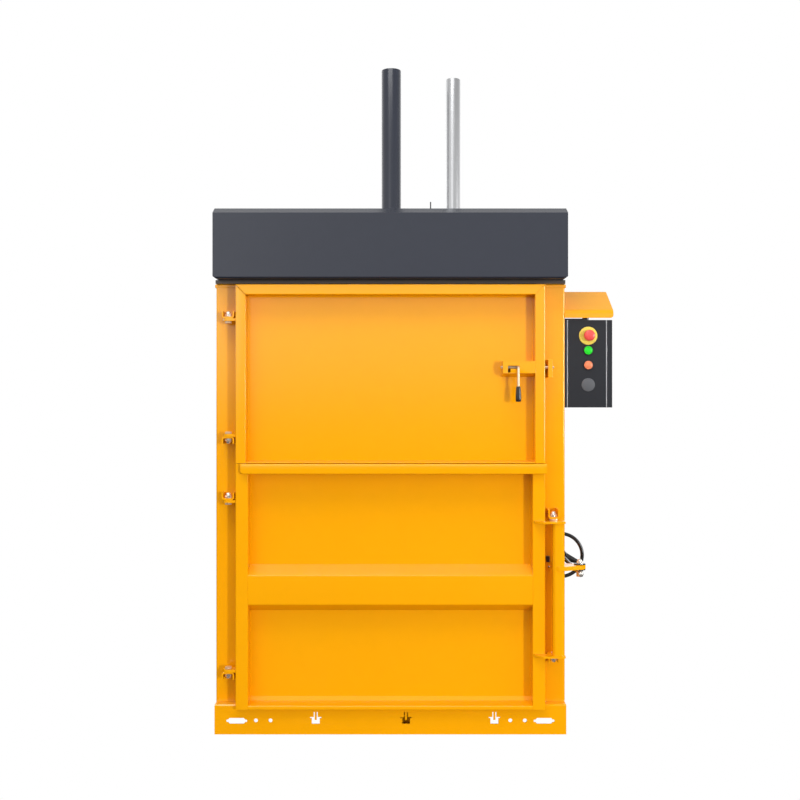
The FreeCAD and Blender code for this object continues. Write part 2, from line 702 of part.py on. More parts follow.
# ----------------------------------------------------------------- lower door
l_half = half - d["lower_inset"]
l_low = d["lower_low"]
l_body = d["lower_body_top"]
l_top = l_body + d["rail_height"]
l_stile = d["lower_stile_width"]
lower = prism("lower_door", "YZ", (-l_half, l_half), [[
    (door_front, l_low), (door_front + sheet, l_low), (door_front + sheet, l_low + 8.5),
    (base_front - 4, l_low + 8.5), (base_front - 0.5, l_low + 11.1),
    (door_back, l_low + 12.4), (door_back, l_body), (door_front, l_body)]])
pocket(lower, "YZ", (-l_half + l_stile, l_half - l_stile), [[
    (door_front, l_low + 11.5), (panel_face - 4.5, l_low + 15), (panel_face, l_low + 27),
    (panel_face, l_body), (door_front, l_body)]])
pocket(lower, "XZ", hollow, [
    rectangle(-l_half + sheet, -l_half + l_stile - sheet, l_low + 20, l_body - sheet),
    rectangle(l_half - l_stile + sheet, l_half - sheet, l_low + 20, l_body - sheet)])
stub = box("stile_cap", (-l_half, -l_half + 16.5), (door_front, door_back), (l_body, l_top))
piece(join("lower_shell", [lower, stub]), "lower_door_shell")

rail_front = door_front - d["rail_lead"]
rail = prism("top_rail", "YZ", (-l_half + 16.7, l_half + 3), [
    [(rail_front, l_body), (door_back, l_body), (door_back, l_top),
     (rail_front + 3, l_top), (rail_front, l_top - 3)],
    rectangle(rail_front + sheet, door_back - sheet, l_body + sheet, l_top - sheet)])
piece(rail, "lower_door_rail")

b_low = d["beam_low"]
b_high = d["beam_high"]
b_slant = d["beam_slant"]
mid = prism("mid_beam", "YZ", (-l_half + l_stile, l_half - l_stile), [[
    (door_front, b_low + 2), (door_front, b_high - 2), (door_front + 1, b_high),
    (panel_face, b_high + b_slant), (panel_face, b_high + b_slant - 3.4),
    (door_front + sheet, b_high - 1.6), (door_front + sheet, b_low + 1.6),
    (panel_face, b_low - b_slant + 3.4), (panel_face, b_low - b_slant),
    (door_front + 1, b_low)]])
piece(mid, "lower_door_beam")
lower_ears = [ear(f"ear_{name}", -l_half, level, way) for name, level, way in EARS[2:]]
piece(group("lower_door_ears", lower_ears), "lower_door_ears")

# ----------------------------------------------------------------- lock clamp
# Two hooked plates on a tube bear on the lower door's stile.  A lever on the
# tube is held by a screw that runs back along the side to the handwheel.
c_low = d["clamp_low"]
c_high = d["clamp_high"]
c_plate = d["clamp_plate"]
tube_r = d["tube_radius"]
tube_x = lock_x + d["tube_reach"]
tube_y = lock_y - d["tube_lead"]
tube_front = tube_y - tube_r - 5
hook = [(lock_x - 60, door_front - 9), (lock_x - 36, tube_front),
        (tube_x + tube_r + 1.5, tube_front), (tube_x + tube_r + 1.5, lock_y + 20),
        (lock_x - 13, lock_y + 20), (lock_x - 20, lock_y + 8),
        (lock_x - 20, door_front - 0.3), (lock_x - 60, door_front - 0.3)]
plates = []
for name, low in (("low", c_low), ("high", c_high - c_plate)):
    shift = gap if name == "low" else -gap
    blade = prism("hook_" + name, "XY", (low + shift, low + c_plate + shift), [
        hook, (lock_x, lock_y, bolt_r + gap)])
    plates.append(blade)
piece(group("hook_plates", plates), "hook_plates")
tube = turned("clamp_tube", "Z", tube_x, tube_y, c_low + c_plate + gap, [
    (tube_r - 4, 0), (tube_r, 0), (tube_r, c_high - c_low - c_plate * 2 - gap * 2),
    (tube_r - 4, c_high - c_low - c_plate * 2 - gap * 2)])
lever_top = d["lever_top"]
lever_low = lever_top - d["lever_thick"]
lever_w = d["lever_width"] / 2
pin_x = half + d["pin_outset"]
lever_end = pin_x + 17
piece(cut("tube_cut", tube, [box(
    "lever_slot", (tube_x - 40, tube_x + 40), (tube_front, lock_y), (lever_low, lever_top))]),
    "clamp_tube")
slot_r = bolt_r + 1
lever = prism("lever", "XY", (lever_low, lever_top), [[
    (lock_x - 2, tube_y - 8), (lock_x + 4, tube_front + 4), (tube_x, tube_front),
    (tube_x + tube_r, tube_front + 2), (pin_x + 7, lock_y - lever_w + 2),
    (lever_end - 4, lock_y - lever_w + 9), (lever_end, lock_y - lever_w + 16),
    (lever_end, lock_y + lever_w - 16), (lever_end - 4, lock_y + lever_w - 9),
    (pin_x + 7, lock_y + lever_w - 3), (pin_x - 20, lock_y + lever_w - 1),
    (lock_x + 12, lock_y + lever_w - 1), (lock_x + 12, lock_y - 2),
    (lock_x - 2, tube_y + 8)]])
pocket(lever, "XY", (lever_low, lever_top), [[
    (pin_x - slot_r, lock_y - slot_r), (pin_x + 15, lock_y - slot_r),
    (pin_x + 15, lock_y + slot_r), (pin_x - slot_r, lock_y + slot_r)]])
piece(lever, "clamp_lever")

# trunnion: a round block on the screw, with a bolt up through the lever's slot
screw_z = d["screw_level"]
screw_r = d["screw_radius"]
block = rod("trunnion_block", "Z", pin_x, lock_y, screw_z - 9.5, lever_low + 6.3 - screw_z, 10)
stud = rod("trunnion_stud", "Z", pin_x, lock_y, lever_low - 3.2, lever_top - lever_low + 10, bolt_r)
piece(cut("trunnion", join("trunnion_whole", [block, stud]), [
    rod("trunnion_bore", "Y", pin_x, lock_y - 20, screw_z, 40, screw_r + gap)]), "trunnion")
washers = []
for name, low in (("low", lever_low - 3.2), ("high", lever_top + 0.2)):
    washers.append(cut("washer_" + name, rod(
        f"washer_{name}_disc", "Z", pin_x, lock_y, low, 3, 17), [
        rod(f"washer_{name}_hole", "Z", pin_x, lock_y, low - 1, 5, bolt_r)]))
piece(group("lever_washers", washers), "lever_washers")
piece(turned("stud_nut", "Z", pin_x, lock_y, lever_top + 3.2, [
    (bolt_r, 0), (9.5, 0), (9.5, 9), (7.5, 13.5), (3.5, 16.5), (0, 17.5), (0, 3.8),
    (bolt_r, 3.8)]), "trunnion_nut")

# screw with its bearing bracket and handwheel
wheel_y = d["wheel_depth"]
screw_front = lock_y - 22
journal = screw_r + 1.5
piece(turned("screw", "Y", pin_x, screw_front, screw_z, [
    (0, 0), (4, 0.9), (7.2, 3.4), (8.8, 6.8), (9.2, 10), (9.2, 11.5), (screw_r, 11.5),
    (screw_r, wheel_y - screw_front - 41),
    (journal + 6, wheel_y - screw_front - 41), (journal + 6, wheel_y - screw_front - 33),
    (journal, wheel_y - screw_front - 33), (journal, wheel_y - screw_front + 14),
    (0, wheel_y - screw_front + 14)]), "lock_screw")
bearing_y = (wheel_y - 33, wheel_y - 17)
arm = join("bearing_arm", [
    box("bearing_bar", (inner + sheet, pin_x), bearing_y, (screw_z - 14, screw_z + 14)),
    rod("bearing_eye", "Y", pin_x, bearing_y[0], screw_z, 16, 16),
    box("bearing_foot", (inner + sheet, inner + sheet + 6),
        (bearing_y[0] - 30, bearing_y[1] + 30), (screw_z - 40, screw_z + 40))])
piece(cut("screw_bearing", arm, [rod(
    "bearing_hole", "Y", pin_x, bearing_y[0] - 1, screw_z, 18, journal + gap)]),
    "screw_bearing")

wheel_r = d["wheel_radius"]
tube_w = d["wheel_tube"]
ring = doc.addObject("Part::Torus", "wheel_ring")
bind(ring, "Radius1", wheel_r)
bind(ring, "Radius2", tube_w)
place(ring, pin_x, wheel_y, screw_z, TURNS["Y"])
piece(ring, "handwheel_rim")
hub_parts = [turned("wheel_hub", "Y", pin_x, wheel_y - 16, screw_z, [
    (journal, 0), (19, 0), (19, 22), (14, 30), (journal, 30)])]
for index in range(3):
    angle = math.radians(-22 + 120 * index)
    spoke = doc.addObject("Part::Cone", f"wheel_spoke{index}")
    spoke.Radius1 = 14
    spoke.Radius2 = 5
    bind(spoke, "Height", wheel_r - tube_w - 13)
    place(spoke, pin_x + 13 * math.cos(angle), wheel_y, screw_z + 13 * math.sin(angle),
          FreeCAD.Rotation(FreeCAD.Vector(0, 0, 1),
                           FreeCAD.Vector(math.cos(angle), 0, math.sin(angle))))
    hub_parts.append(spoke)
piece(join("wheel_spider", hub_parts, tidy=False), "handwheel_spider")

piece(join("safety_switch", [
    box("switch_case", (half - 57, half - 46.5), (front - 14, front),
        (lever_top + 7.5, lever_top + 25)),
    box("switch_tab", (half - 56, half - 41), (front - 2, front),
        (lever_top - 17, lever_top + 8)),
    rod("switch_screw", "Y", half - 48.4, front - 5, lever_top - 8.7, 5, 3.5)]),
    "safety_switch")

# ---------------------------------------------------------------- control box
b_left = half + d["box_gap"]
b_right = b_left + d["box_width"]
b_low_z = d["box_low"]
b_top_z = b_low_z + d["box_height"]
b_front = front + d["box_recess"]
b_back = b_front + d["box_depth"]
column = b_left + d["button_inset"]
case = prism("control_case", "XY", (b_low_z, b_top_z), [
    rectangle(b_left, b_right, b_front + sheet, b_back)])
pocket(case, "XZ", (b_front + sheet, b_back - sheet), [
    rectangle(b_left + 2, b_right - 2, b_low_z + 2, b_top_z - 2)])
trim_l = b_left + 7
trim_r = b_right - 19.2
edges = [
    box("left_strip", (b_left, trim_l), (b_front, b_front + sheet), (b_low_z, b_top_z)),
    box("right_strip", (trim_r + 2.7, b_right), (b_front, b_front + sheet), (b_low_z, b_top_z))]
piece(join("control_shell", [case, *edges]), "control_box_case")
E_STOP, GREEN, ORANGE, PLUG = [b_low_z + up for up in (219.9, 175.4, 130.0, 69.6)]
panel = prism("control_panel", "XZ", (b_front, b_front + sheet), [
    rectangle(trim_l + 2.7, trim_r, b_low_z, b_top_z),
    (column, E_STOP, 8 + gap), (column, GREEN, 11), (column, ORANGE, 11)])
piece(panel, "control_panel")
piece(group("panel_trims", [
    box(name, (low, low + 2.7), (b_front, b_front + sheet), (b_low_z, b_top_z))
    for name, low in (("trim_left", trim_l), ("trim_right", trim_r))]), "panel_trims")
piece(turned("estop_collar", "Y", column, b_front - 3, E_STOP, [
    (8 + gap, 0), (28, 0), (29, 1), (29, 3), (8 + gap, 3)]), "estop_collar")
piece(turned("estop_button", "Y", column, b_front - 28, E_STOP, [
    (0, 0), (12, 1), (16, 4), (17, 7), (17, 11), (15, 14), (8, 16), (8, 36), (0, 36)]),
    "estop_button")
bezels = []
for name, level in (("green", GREEN), ("orange", ORANGE)):
    bezels.append(turned("bezel_" + name, "Y", column, b_front - 4, level, [
        (10 + gap, 0), (13.5, 0), (15, 2), (15, 4), (11, 4), (11, 14), (10 + gap, 14)]))
    piece(turned("button_" + name, "Y", column, b_front - 8, level, [
        (0, 0), (8.5, 0), (10, 1.5), (10, 20), (0, 20)]), name + "_button")
piece(group("button_bezels", bezels), "button_bezels")
piece(rod("panel_plug", "Y", column, b_front - 2, PLUG, 2, 21), "panel_plug")

mount = join("control_mount", [
    box("mount_side", (half, b_left), (front + 24, front + 54), (b_low_z + 20, b_top_z + 5)),
    box("mount_top", (half, column - 1), (front + 24, front + 54), (b_top_z, b_top_z + 5))])
piece(mount, "control_box_mount")
gland_top = b_top_z + 2
piece(turned("cable_gland", "Z", b_left + 76, b_front + 70, b_top_z, [
    (0, 0), (10, 0), (10, 12), (6, 18), (0, 18)]), "cable_gland")

roof_front = front
roof_low = b_top_z + 5.5
lip_top = roof_low + 21.4
slope_end = front + 119
crest = lip_top + 70
visor = prism("visor", "YZ", (half, half + d["roof_overhang"]), [[
    (roof_front, roof_low), (roof_front + 3, roof_low), (roof_front + 3, lip_top - 1.4),
    (slope_end + 2, crest - 2.6), (slope_end, crest), (roof_front + 0.8, lip_top + 0.4),
    (roof_front, lip_top - 1)]])
cheek = prism("visor_cheek", "YZ", (half, half + 3), [[
    (roof_front + 3, roof_low + 4), (slope_end - 20, roof_low + 30), (slope_end, crest),
    (roof_front + 2, lip_top)]])
piece(join("control_roof", [visor, cheek]), "control_roof")

# ------------------------------------------------------------------- export
doc.recompute()
os.makedirs("parts", exist_ok=True)
for item in doc.Objects:
    if "Invalid" in item.State or "Error" in item.State:
        raise RuntimeError(f"{item.Name} did not build: {item.State}")
for label, item in pieces:
    if item.Shape.isNull() or not item.Shape.isValid():
        raise RuntimeError(f"{label} has no valid shape")
    item.Shape.exportStep(os.path.join("parts", label + ".step"))
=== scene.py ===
import math

import bmesh
import bpy
import numpy as np
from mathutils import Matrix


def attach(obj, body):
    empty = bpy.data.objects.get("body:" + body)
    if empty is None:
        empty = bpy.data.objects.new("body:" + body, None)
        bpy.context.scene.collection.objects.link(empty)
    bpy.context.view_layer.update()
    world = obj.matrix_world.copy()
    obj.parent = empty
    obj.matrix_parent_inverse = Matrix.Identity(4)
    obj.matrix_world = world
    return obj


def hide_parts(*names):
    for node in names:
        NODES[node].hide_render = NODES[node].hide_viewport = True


# The recycling baler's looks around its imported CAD.  Sizes are in millimetres
# and turned into metres where a mesh is made.  +X is the operator's right, the
# doors face -Y, +Z is up and the floor is at z = 0.

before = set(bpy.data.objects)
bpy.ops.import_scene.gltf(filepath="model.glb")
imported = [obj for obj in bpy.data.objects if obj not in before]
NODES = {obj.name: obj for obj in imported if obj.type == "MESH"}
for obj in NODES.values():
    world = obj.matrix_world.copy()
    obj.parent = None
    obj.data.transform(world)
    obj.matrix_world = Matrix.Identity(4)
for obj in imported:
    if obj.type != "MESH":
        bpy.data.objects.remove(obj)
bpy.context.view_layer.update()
MM = 0.001
scene = bpy.context.scene


# ------------------------------------------------------------------- materials

def new_group(name, inputs, outputs):
    """A shader node group with its input and output nodes."""
    group = bpy.data.node_groups.new(name, "ShaderNodeTree")
    for kind, label, default in inputs:
        socket = group.interface.new_socket(name=label, in_out="INPUT", socket_type=kind)
        socket.default_value = default
    for kind, label in outputs:
        group.interface.new_socket(name=label, in_out="OUTPUT", socket_type=kind)
    return group, group.nodes.new("NodeGroupInput"), group.nodes.new("NodeGroupOutput")


def noise_node(tree, scale, detail, rough=0.5):
    """A noise texture read in Object coordinates."""
    place = tree.nodes.new("ShaderNodeTexCoord")
    node = tree.nodes.new("ShaderNodeTexNoise")
    node.inputs["Scale"].default_value = scale
    node.inputs["Detail"].default_value = detail
    node.inputs["Roughness"].default_value = rough
    tree.links.new(place.outputs["Object"], node.inputs["Vector"])
    return node


def math_node(tree, operation, first=None, second=None, fixed=0.0):
    """One arithmetic step; an input that isn't linked keeps the fixed number."""
    node = tree.nodes.new("ShaderNodeMath")
    node.operation = operation
    for index, source in enumerate((first, second)):
        if source is not None:
            tree.links.new(source, node.inputs[index])
        else:
            node.inputs[index].default_value = fixed
    return node.outputs[0]


def ramp_node(tree, source, low, high, start, end):
    """Maps a value from low..high to start..end, held at both ends."""
    node = tree.nodes.new("ShaderNodeMapRange")
    node.inputs["From Min"].default_value = low
    node.inputs["From Max"].default_value = high
    node.inputs["To Min"].default_value = start
    node.inputs["To Max"].default_value = end
    tree.links.new(source, node.inputs["Value"])
    return node.outputs["Result"]


def two_noises(group, broad, fine, amount):
    """A broad and a fine noise added, less their mean of 1, times an amount."""
    both = math_node(group, "ADD", broad.outputs["Fac"], fine.outputs["Fac"])
    swing = math_node(group, "SUBTRACT", both, None, 1.0)
    return math_node(group, "MULTIPLY", swing, amount)


def make_tint():
    """Base colour made slightly lighter and darker in broad soft patches."""
    group, entry, leave = new_group(
        "soft_tint",
        [("NodeSocketColor", "Color", (1, 1, 1, 1)), ("NodeSocketFloat", "Amount", 0.05)],
        [("NodeSocketColor", "Color")])
    swing = two_noises(group, noise_node(group, 2.3, 3.0), noise_node(group, 31.0, 2.0),
                       entry.outputs["Amount"])
    level = math_node(group, "ADD", swing, None, 1.0)
    scale = group.nodes.new("ShaderNodeVectorMath")
    scale.operation = "SCALE"
    group.links.new(entry.outputs["Color"], scale.inputs[0])
    group.links.new(level, scale.inputs["Scale"])
    group.links.new(scale.outputs["Vector"], leave.inputs["Color"])
    return group


def make_drift():
    """Roughness that drifts in broad patches and fine specks."""
    group, entry, leave = new_group(
        "roughness_drift",
        [("NodeSocketFloat", "Base", 0.4), ("NodeSocketFloat", "Amount", 0.06)],
        [("NodeSocketFloat", "Roughness")])
    swing = two_noises(group, noise_node(group, 5.0, 4.0), noise_node(group, 140.0, 2.0),
                       entry.outputs["Amount"])
    total = math_node(group, "ADD", entry.outputs["Base"], swing)
    group.links.new(total, leave.inputs["Roughness"])
    return group


def make_peel():
    """The slight ripple of powder coat, as a height in metres."""
    group, entry, leave = new_group(
        "orange_peel", [("NodeSocketFloat", "Depth", 0.00002)],
        [("NodeSocketFloat", "Height")])
    ripple = noise_node(group, 420.0, 2.0, 0.4)
    wave = noise_node(group, 6.0, 2.0, 0.4)
    slow = math_node(group, "MULTIPLY", wave.outputs["Fac"], None, 6.0)
    both = math_node(group, "ADD", ripple.outputs["Fac"], slow)
    total = math_node(group, "MULTIPLY", both, entry.outputs["Depth"])
    group.links.new(total, leave.inputs["Height"])
    return group


def make_grain():
    """Fine lines around or along turned and drawn metal, as a height in metres."""
    group, entry, leave = new_group(
        "drawn_grain",
        [("NodeSocketVector", "Stretch", (1, 1, 1)), ("NodeSocketFloat", "Depth", 0.00001)],
        [("NodeSocketFloat", "Height")])
    place = group.nodes.new("ShaderNodeTexCoord")
    stretch = group.nodes.new("ShaderNodeVectorMath")
    stretch.operation = "MULTIPLY"
    group.links.new(place.outputs["Object"], stretch.inputs[0])
    group.links.new(entry.outputs["Stretch"], stretch.inputs[1])
    lines = group.nodes.new("ShaderNodeTexNoise")
    lines.inputs["Scale"].default_value = 1.0
    lines.inputs["Detail"].default_value = 3.0
    group.links.new(stretch.outputs["Vector"], lines.inputs["Vector"])
    total = math_node(group, "MULTIPLY", lines.outputs["Fac"], entry.outputs["Depth"])
    group.links.new(total, leave.inputs["Height"])
    return group


TINT, DRIFT, PEEL, GRAIN = make_tint(), make_drift(), make_peel(), make_grain()


def group_node(tree, group, settings):
    """A node group placed in a material, with its inputs set."""
    node = tree.nodes.new("ShaderNodeGroup")
    node.node_tree = group
    for label, value in settings.items():
        node.inputs[label].default_value = value
    return node


def finish(name, color, rough, metal=0.0, specular=0.5, tint=0.05, drift=0.06, peel=0.0,
           grain=None):
    """A material in a linear colour.

    tint and drift are the swings of its colour and roughness.  peel is a height in
    metres.  grain, in place of peel, stretches the fine lines of drawn metal.
    """
    material = bpy.data.materials.new(name)
    material.use_nodes = True
    tree = material.node_tree
    shader = tree.nodes["Principled BSDF"]
    shader.inputs["Metallic"].default_value = metal
    shader.inputs["Specular IOR Level"].default_value = specular
    shade = group_node(tree, TINT, {"Color": (*color, 1), "Amount": tint})
    tree.links.new(shade.outputs["Color"], shader.inputs["Base Color"])
    gloss = group_node(tree, DRIFT, {"Base": rough, "Amount": drift})
    tree.links.new(gloss.outputs["Roughness"], shader.inputs["Roughness"])
    if grain:
        relief = group_node(tree, GRAIN, {"Stretch": grain, "Depth": 0.00001})
    else:
        relief = group_node(tree, PEEL, {"Depth": peel})
    bump = tree.nodes.new("ShaderNodeBump")
    bump.inputs["Strength"].default_value = 0.6
    bump.inputs["Distance"].default_value = 1.0
    tree.links.new(relief.outputs["Height"], bump.inputs["Height"])
    tree.links.new(bump.outputs["Normal"], shader.inputs["Normal"])
    return material


def srgb(red, green, blue):
    """Linear colour of an 8-bit screen colour."""
    part = np.array([red, green, blue]) / 255
    return tuple(np.where(part <= 0.04045, part / 12.92, ((part + 0.055) / 1.055) ** 2.4))


FINISHES = {
    "yellow_paint": dict(color=(0.88, 0.368, 0.0004), rough=0.155, tint=0.04, drift=0.03,
                         peel=0.000003),
    "dark_paint": dict(color=(0.0225, 0.0262, 0.0395), rough=0.24, tint=0.08, drift=0.04,
                       peel=0.000004),
    "black_paint": dict(color=(0.016, 0.017, 0.021), rough=0.26, specular=0.45, tint=0.1,
                        drift=0.04, peel=0.000004),
    "bare_steel": dict(color=(0.52, 0.51, 0.50), rough=0.33, metal=1.0, tint=0.12,
                       drift=0.12, grain=(60, 60, 900)),
    "bright_steel": dict(color=(0.70, 0.69, 0.68), rough=0.2, metal=1.0, tint=0.06,
                         drift=0.08, grain=(300, 300, 40)),
    "zinc_plate": dict(color=(0.83, 0.80, 0.74), rough=0.22, metal=0.74, tint=0.06,
                       drift=0.08, peel=0.000006),
    "satin_steel": dict(color=(0.53, 0.535, 0.545), rough=0.3, metal=1.0, tint=0.06,
                        drift=0.05, peel=0.000003),
    "latch_steel": dict(color=(0.76, 0.57, 0.37), rough=0.3, metal=0.5, tint=0.06,
                        drift=0.06, peel=0.000003),
    "panel_paint": dict(color=(0.0180, 0.0193, 0.0240), rough=0.3, specular=0.4, tint=0.08,
                        drift=0.04, peel=0.000004),
    # the tray's dark paint is made warmer and lighter than the header's: painted reflection
    # of the yellow light from below
    "tray_paint_painted_reflection": dict(color=(0.076, 0.064, 0.056), rough=0.3, specular=0.45, tint=0.08,
                       drift=0.04, peel=0.000004),
    "bronze": dict(color=(0.52, 0.34, 0.16), rough=0.35, metal=1.0, tint=0.15, drift=0.1,
                   grain=(200, 200, 600)),
    "cast_alloy": dict(color=srgb(96, 98, 102), rough=0.5, metal=0.6, tint=0.15,
                       peel=0.00003),
    "hose_rubber": dict(color=srgb(26, 26, 27), rough=0.55, tint=0.15, peel=0.00002),
    "black_plastic": dict(color=srgb(34, 34, 36), rough=0.3, tint=0.1, peel=0.00001),
    "grey_plastic": dict(color=srgb(88, 90, 94), rough=0.42, tint=0.08, peel=0.00001),
    "yellow_plastic": dict(color=srgb(236, 211, 88), rough=0.4, peel=0.00001),
    "red_plastic": dict(color=srgb(234, 84, 78), rough=0.34, peel=0.000006),
    "green_plastic": dict(color=srgb(34, 222, 44), rough=0.34, peel=0.000006),
    "orange_plastic": dict(color=srgb(235, 133, 91), rough=0.34, peel=0.000006),
}
LOOKS = {name: finish(name, **values) for name, values in FINISHES.items()}


# -------------------------------------------------------------- mesh building

def turns(count):
    """Angles at even steps round a circle."""
    return np.linspace(0, 2 * math.pi, count, endpoint=False)


def corner_arc(corner, a, b, half, radius, steps):
    """Points of an arc between two sides that leave a corner along a and b.

    With h half the angle between the unit directions a and b, an arc of radius r
    touches both sides at r / tan(h) from the corner c, about the point
    c + (a + b) / |a + b| * r / sin(h).
    """
    centre = corner + (a + b) / np.linalg.norm(a + b) * radius / math.sin(half)
    start = corner + a * radius / math.tan(half) - centre
    end = corner + b * radius / math.tan(half) - centre
    part = np.linspace(0, 1, steps + 1)[:, None]
    chord = start * (1 - part) + end * part
    return centre + chord / np.linalg.norm(chord, axis=1)[:, None] * radius


def rounded(corners, radius, steps=6):
    """Closed outline with corner_arc at its corners, one radius each or one for all."""
    corners = np.asarray(corners, float)
    radii = np.broadcast_to(np.asarray(radius, float), len(corners))
    points = []
    for index, corner in enumerate(corners):
        a = corners[index - 1] - corner
        b = corners[(index + 1) % len(corners)] - corner
        reach_a, reach_b = np.linalg.norm(a), np.linalg.norm(b)
        a, b = a / reach_a, b / reach_b
        half = math.acos(max(-1.0, min(1.0, float(a @ b)))) / 2
        r = radii[index]
        if r <= 0 or half > 1.56:
            points.append(corner[None])
            continue
        r = min(r, 0.49 * min(reach_a, reach_b) * math.tan(half))
        points.append(corner_arc(corner, a, b, half, r, steps))
    return np.concatenate(points)


def cleaned(mesh, weld=1e-6, flat=None):
    """Weld a mesh's points, melt edges bent less than flat, turn its faces outwards."""
    work = bmesh.new()
    work.from_mesh(mesh)
    bmesh.ops.remove_doubles(work, verts=work.verts, dist=weld)
    if flat:
        bmesh.ops.dissolve_limit(work, angle_limit=flat, verts=work.verts, edges=work.edges)
    bmesh.ops.recalc_face_normals(work, faces=work.faces)
    work.to_mesh(mesh)
    work.free()


def placed(name, data):
    """An object at the origin."""
    item = bpy.data.objects.new(name, data)
    scene.collection.objects.link(item)
    return item


def new_mesh(name, verts, faces):
    """An object at the origin from points in millimetres."""
    mesh = bpy.data.meshes.new(name)
    mesh.from_pydata((np.asarray(verts, float) * MM).tolist(), [], faces)
    mesh.validate()
    cleaned(mesh)
    return placed(name, mesh)


def ring_faces(sections, count, offset=0, caps=True):
    """Quads between closed sections of count points, with a face over each end."""
    row = np.arange(sections - 1)[:, None] * count
    step = np.arange(count)[None, :]
    after = (step + 1) % count
    quads = np.stack([row + step, row + after, row + count + after, row + count + step], -1)
    faces = (quads.reshape(-1, 4) + offset).tolist()
    if caps:
        faces.append(list(range(offset + count - 1, offset - 1, -1)))
        last = offset + (sections - 1) * count
        faces.append(list(range(last, last + count)))
    return faces


def lofted(shapes):
    """(points, faces) of several stacks of closed sections in one mesh.

    Each stack is an array (sections, points, 3); a surface point is
    P(i, j) = stack[i, j], with i along the stack and j round the section.
    """
    verts, faces = [], []
    offset = 0
    for stack in shapes:
        count = stack.shape[1]
        faces += ring_faces(stack.shape[0], count, offset)
        verts.append(stack.reshape(-1, 3))
        offset += stack.shape[0] * count
    return np.concatenate(verts), faces


def along(axis, profile, low, high):
    """A closed profile carried along an axis: P(i, j) = profile[j] at low or high.

    The profile's two numbers are the other two axes in the order X, Y, Z.
    """
    profile = np.asarray(profile, float)
    ends = np.array([low, high], float)
    stack = np.empty((2, len(profile), 3))
    others = [k for k in range(3) if k != "XYZ".index(axis)]
    stack[:, :, "XYZ".index(axis)] = ends[:, None]
    stack[:, :, others[0]] = profile[None, :, 0]
    stack[:, :, others[1]] = profile[None, :, 1]
    return stack


def block(across, deep, up, radius=0.0):
    """A box between pairs of X, Y and Z, its upright corners rounded."""
    corners = [(across[0], deep[0]), (across[1], deep[0]),
               (across[1], deep[1]), (across[0], deep[1])]
    return along("Z", rounded(corners, radius) if radius else corners, *up)


def member(profile, start, end, inward, mitres):
    """A frame member of a sheet profile with mitred ends.

    With a the profile's inward number and b its depth, the point at each end is
    P = corner + inward * a + (0, b, 0) + direction * mitre * a.
    """
    profile = np.asarray(profile, float)
    start, end, inward = (np.asarray(v, float) for v in (start, end, inward))
    direction = (end - start) / np.linalg.norm(end - start)
    a, b = profile[:, :1], profile[:, 1:]
    rows = [corner + inward * a + np.array([0, 1, 0]) * b + direction * mitre * a
            for corner, mitre in ((start, mitres[0]), (end, -mitres[1]))]
    return np.stack(rows)


CORE = 0.001  # the radius in mm at which a turned piece closes on its axis


def spun(points, origin, axis="Z", count=48, way=1):
    """A turned piece: P(i, t) = origin + r[i] (cos t, sin t) + way h[i] along the axis."""
    points = np.asarray(points, float)
    turn = turns(count)
    r, h = points[:, :1], points[:, 1:] * way
    u, v = r * np.cos(turn), r * np.sin(turn)
    w = np.broadcast_to(h, u.shape)
    order = {"X": (w, u, v), "Y": (u, w, v), "Z": (u, v, w)}[axis]
    return np.stack(order, -1) + np.asarray(origin, float)


def arc_turned(points, radii):
    """Turned outline (r, h) open at both ends, its inner corners rounded."""
    return rounded(points, [0, *radii, 0], 5)


def hexed(flats, height, origin, dome=0.0, way=1):
    """A hexagon nut or head with a chamfer cone and, over it, a dome.

    The radius at turn t is min(f / cos(((t + 30) mod 60) - 30), c(h)), where f is
    half the width over flats and c the chamfer cone; above the hexagon it is
    the dome's sqrt(1 - ((h - height) / dome)^2) times 0.86 f.
    """
    count, edge = 96, 1.0  # points round the hexagon, height of the chamfer
    f = flats / 2
    turn = turns(count)
    sector = math.pi / 3
    hexagon = f / np.cos((turn + sector / 2) % sector - sector / 2)
    low = [0.0, 0.0, edge * 0.3, edge * 0.7]
    levels = low + list(np.linspace(edge, height - edge, 4)) + [height - edge * 0.5, height]
    corner = f / math.cos(sector / 2)
    cone = []
    for h in levels:
        near = min(h, height - h) if h else 0.0
        cone.append(f * 0.94 + (corner - f * 0.94) * min(1, near / edge))
    radius = np.minimum(hexagon[None, :], np.asarray(cone)[:, None])
    radius[0] = CORE
    heights = list(levels)
    if dome:
        rise = np.sin(np.linspace(0, math.pi / 2, 12)) * dome
        ball = f * 0.86 * np.sqrt(np.clip(1 - (rise / dome) ** 2, 0, 1)) + CORE
        radius = np.concatenate([radius, np.tile(ball[:, None], (1, count))])
        heights += list(height + rise)
    else:
        radius = np.concatenate([radius, np.full((1, count), CORE)])
        heights.append(height)
    h = np.asarray(heights)[:, None] * way
    stack = np.stack([radius * np.cos(turn), radius * np.sin(turn),
                      np.broadcast_to(h, radius.shape)], -1)
    return stack + np.asarray(origin, float)


def bar_path(points, bend, radius, steps=10, count=24):
    """A round bar along a path with bends: P(i, t) = c(i) + r (n cos t + b sin t).

    The frame n, b is carried from one path point to the next by the smallest turn.
    """
    points = [np.asarray(p, float) for p in points]
    path = [points[0]]
    for before, corner, after in zip(points, points[1:], points[2:]):
        a = (before - corner) / np.linalg.norm(before - corner)
        b = (after - corner) / np.linalg.norm(after - corner)
        half = math.acos(float(a @ b)) / 2
        path += list(corner_arc(corner, a, b, half, bend, steps))
    path = np.array(path + [points[-1]])
    heading = np.gradient(path, axis=0)
    heading /= np.linalg.norm(heading, axis=1)[:, None]
    normal = np.cross(heading[0], [0.3, 0.2, 0.9])
    turn = turns(count)
    rows = []
    for centre, way in zip(path, heading):
        normal = normal - way * float(normal @ way)
        normal = normal / np.linalg.norm(normal)
        side = np.cross(way, normal)
        rows.append(centre + radius * (np.cos(turn)[:, None] * normal
                                       + np.sin(turn)[:, None] * side))
    return np.stack(rows)


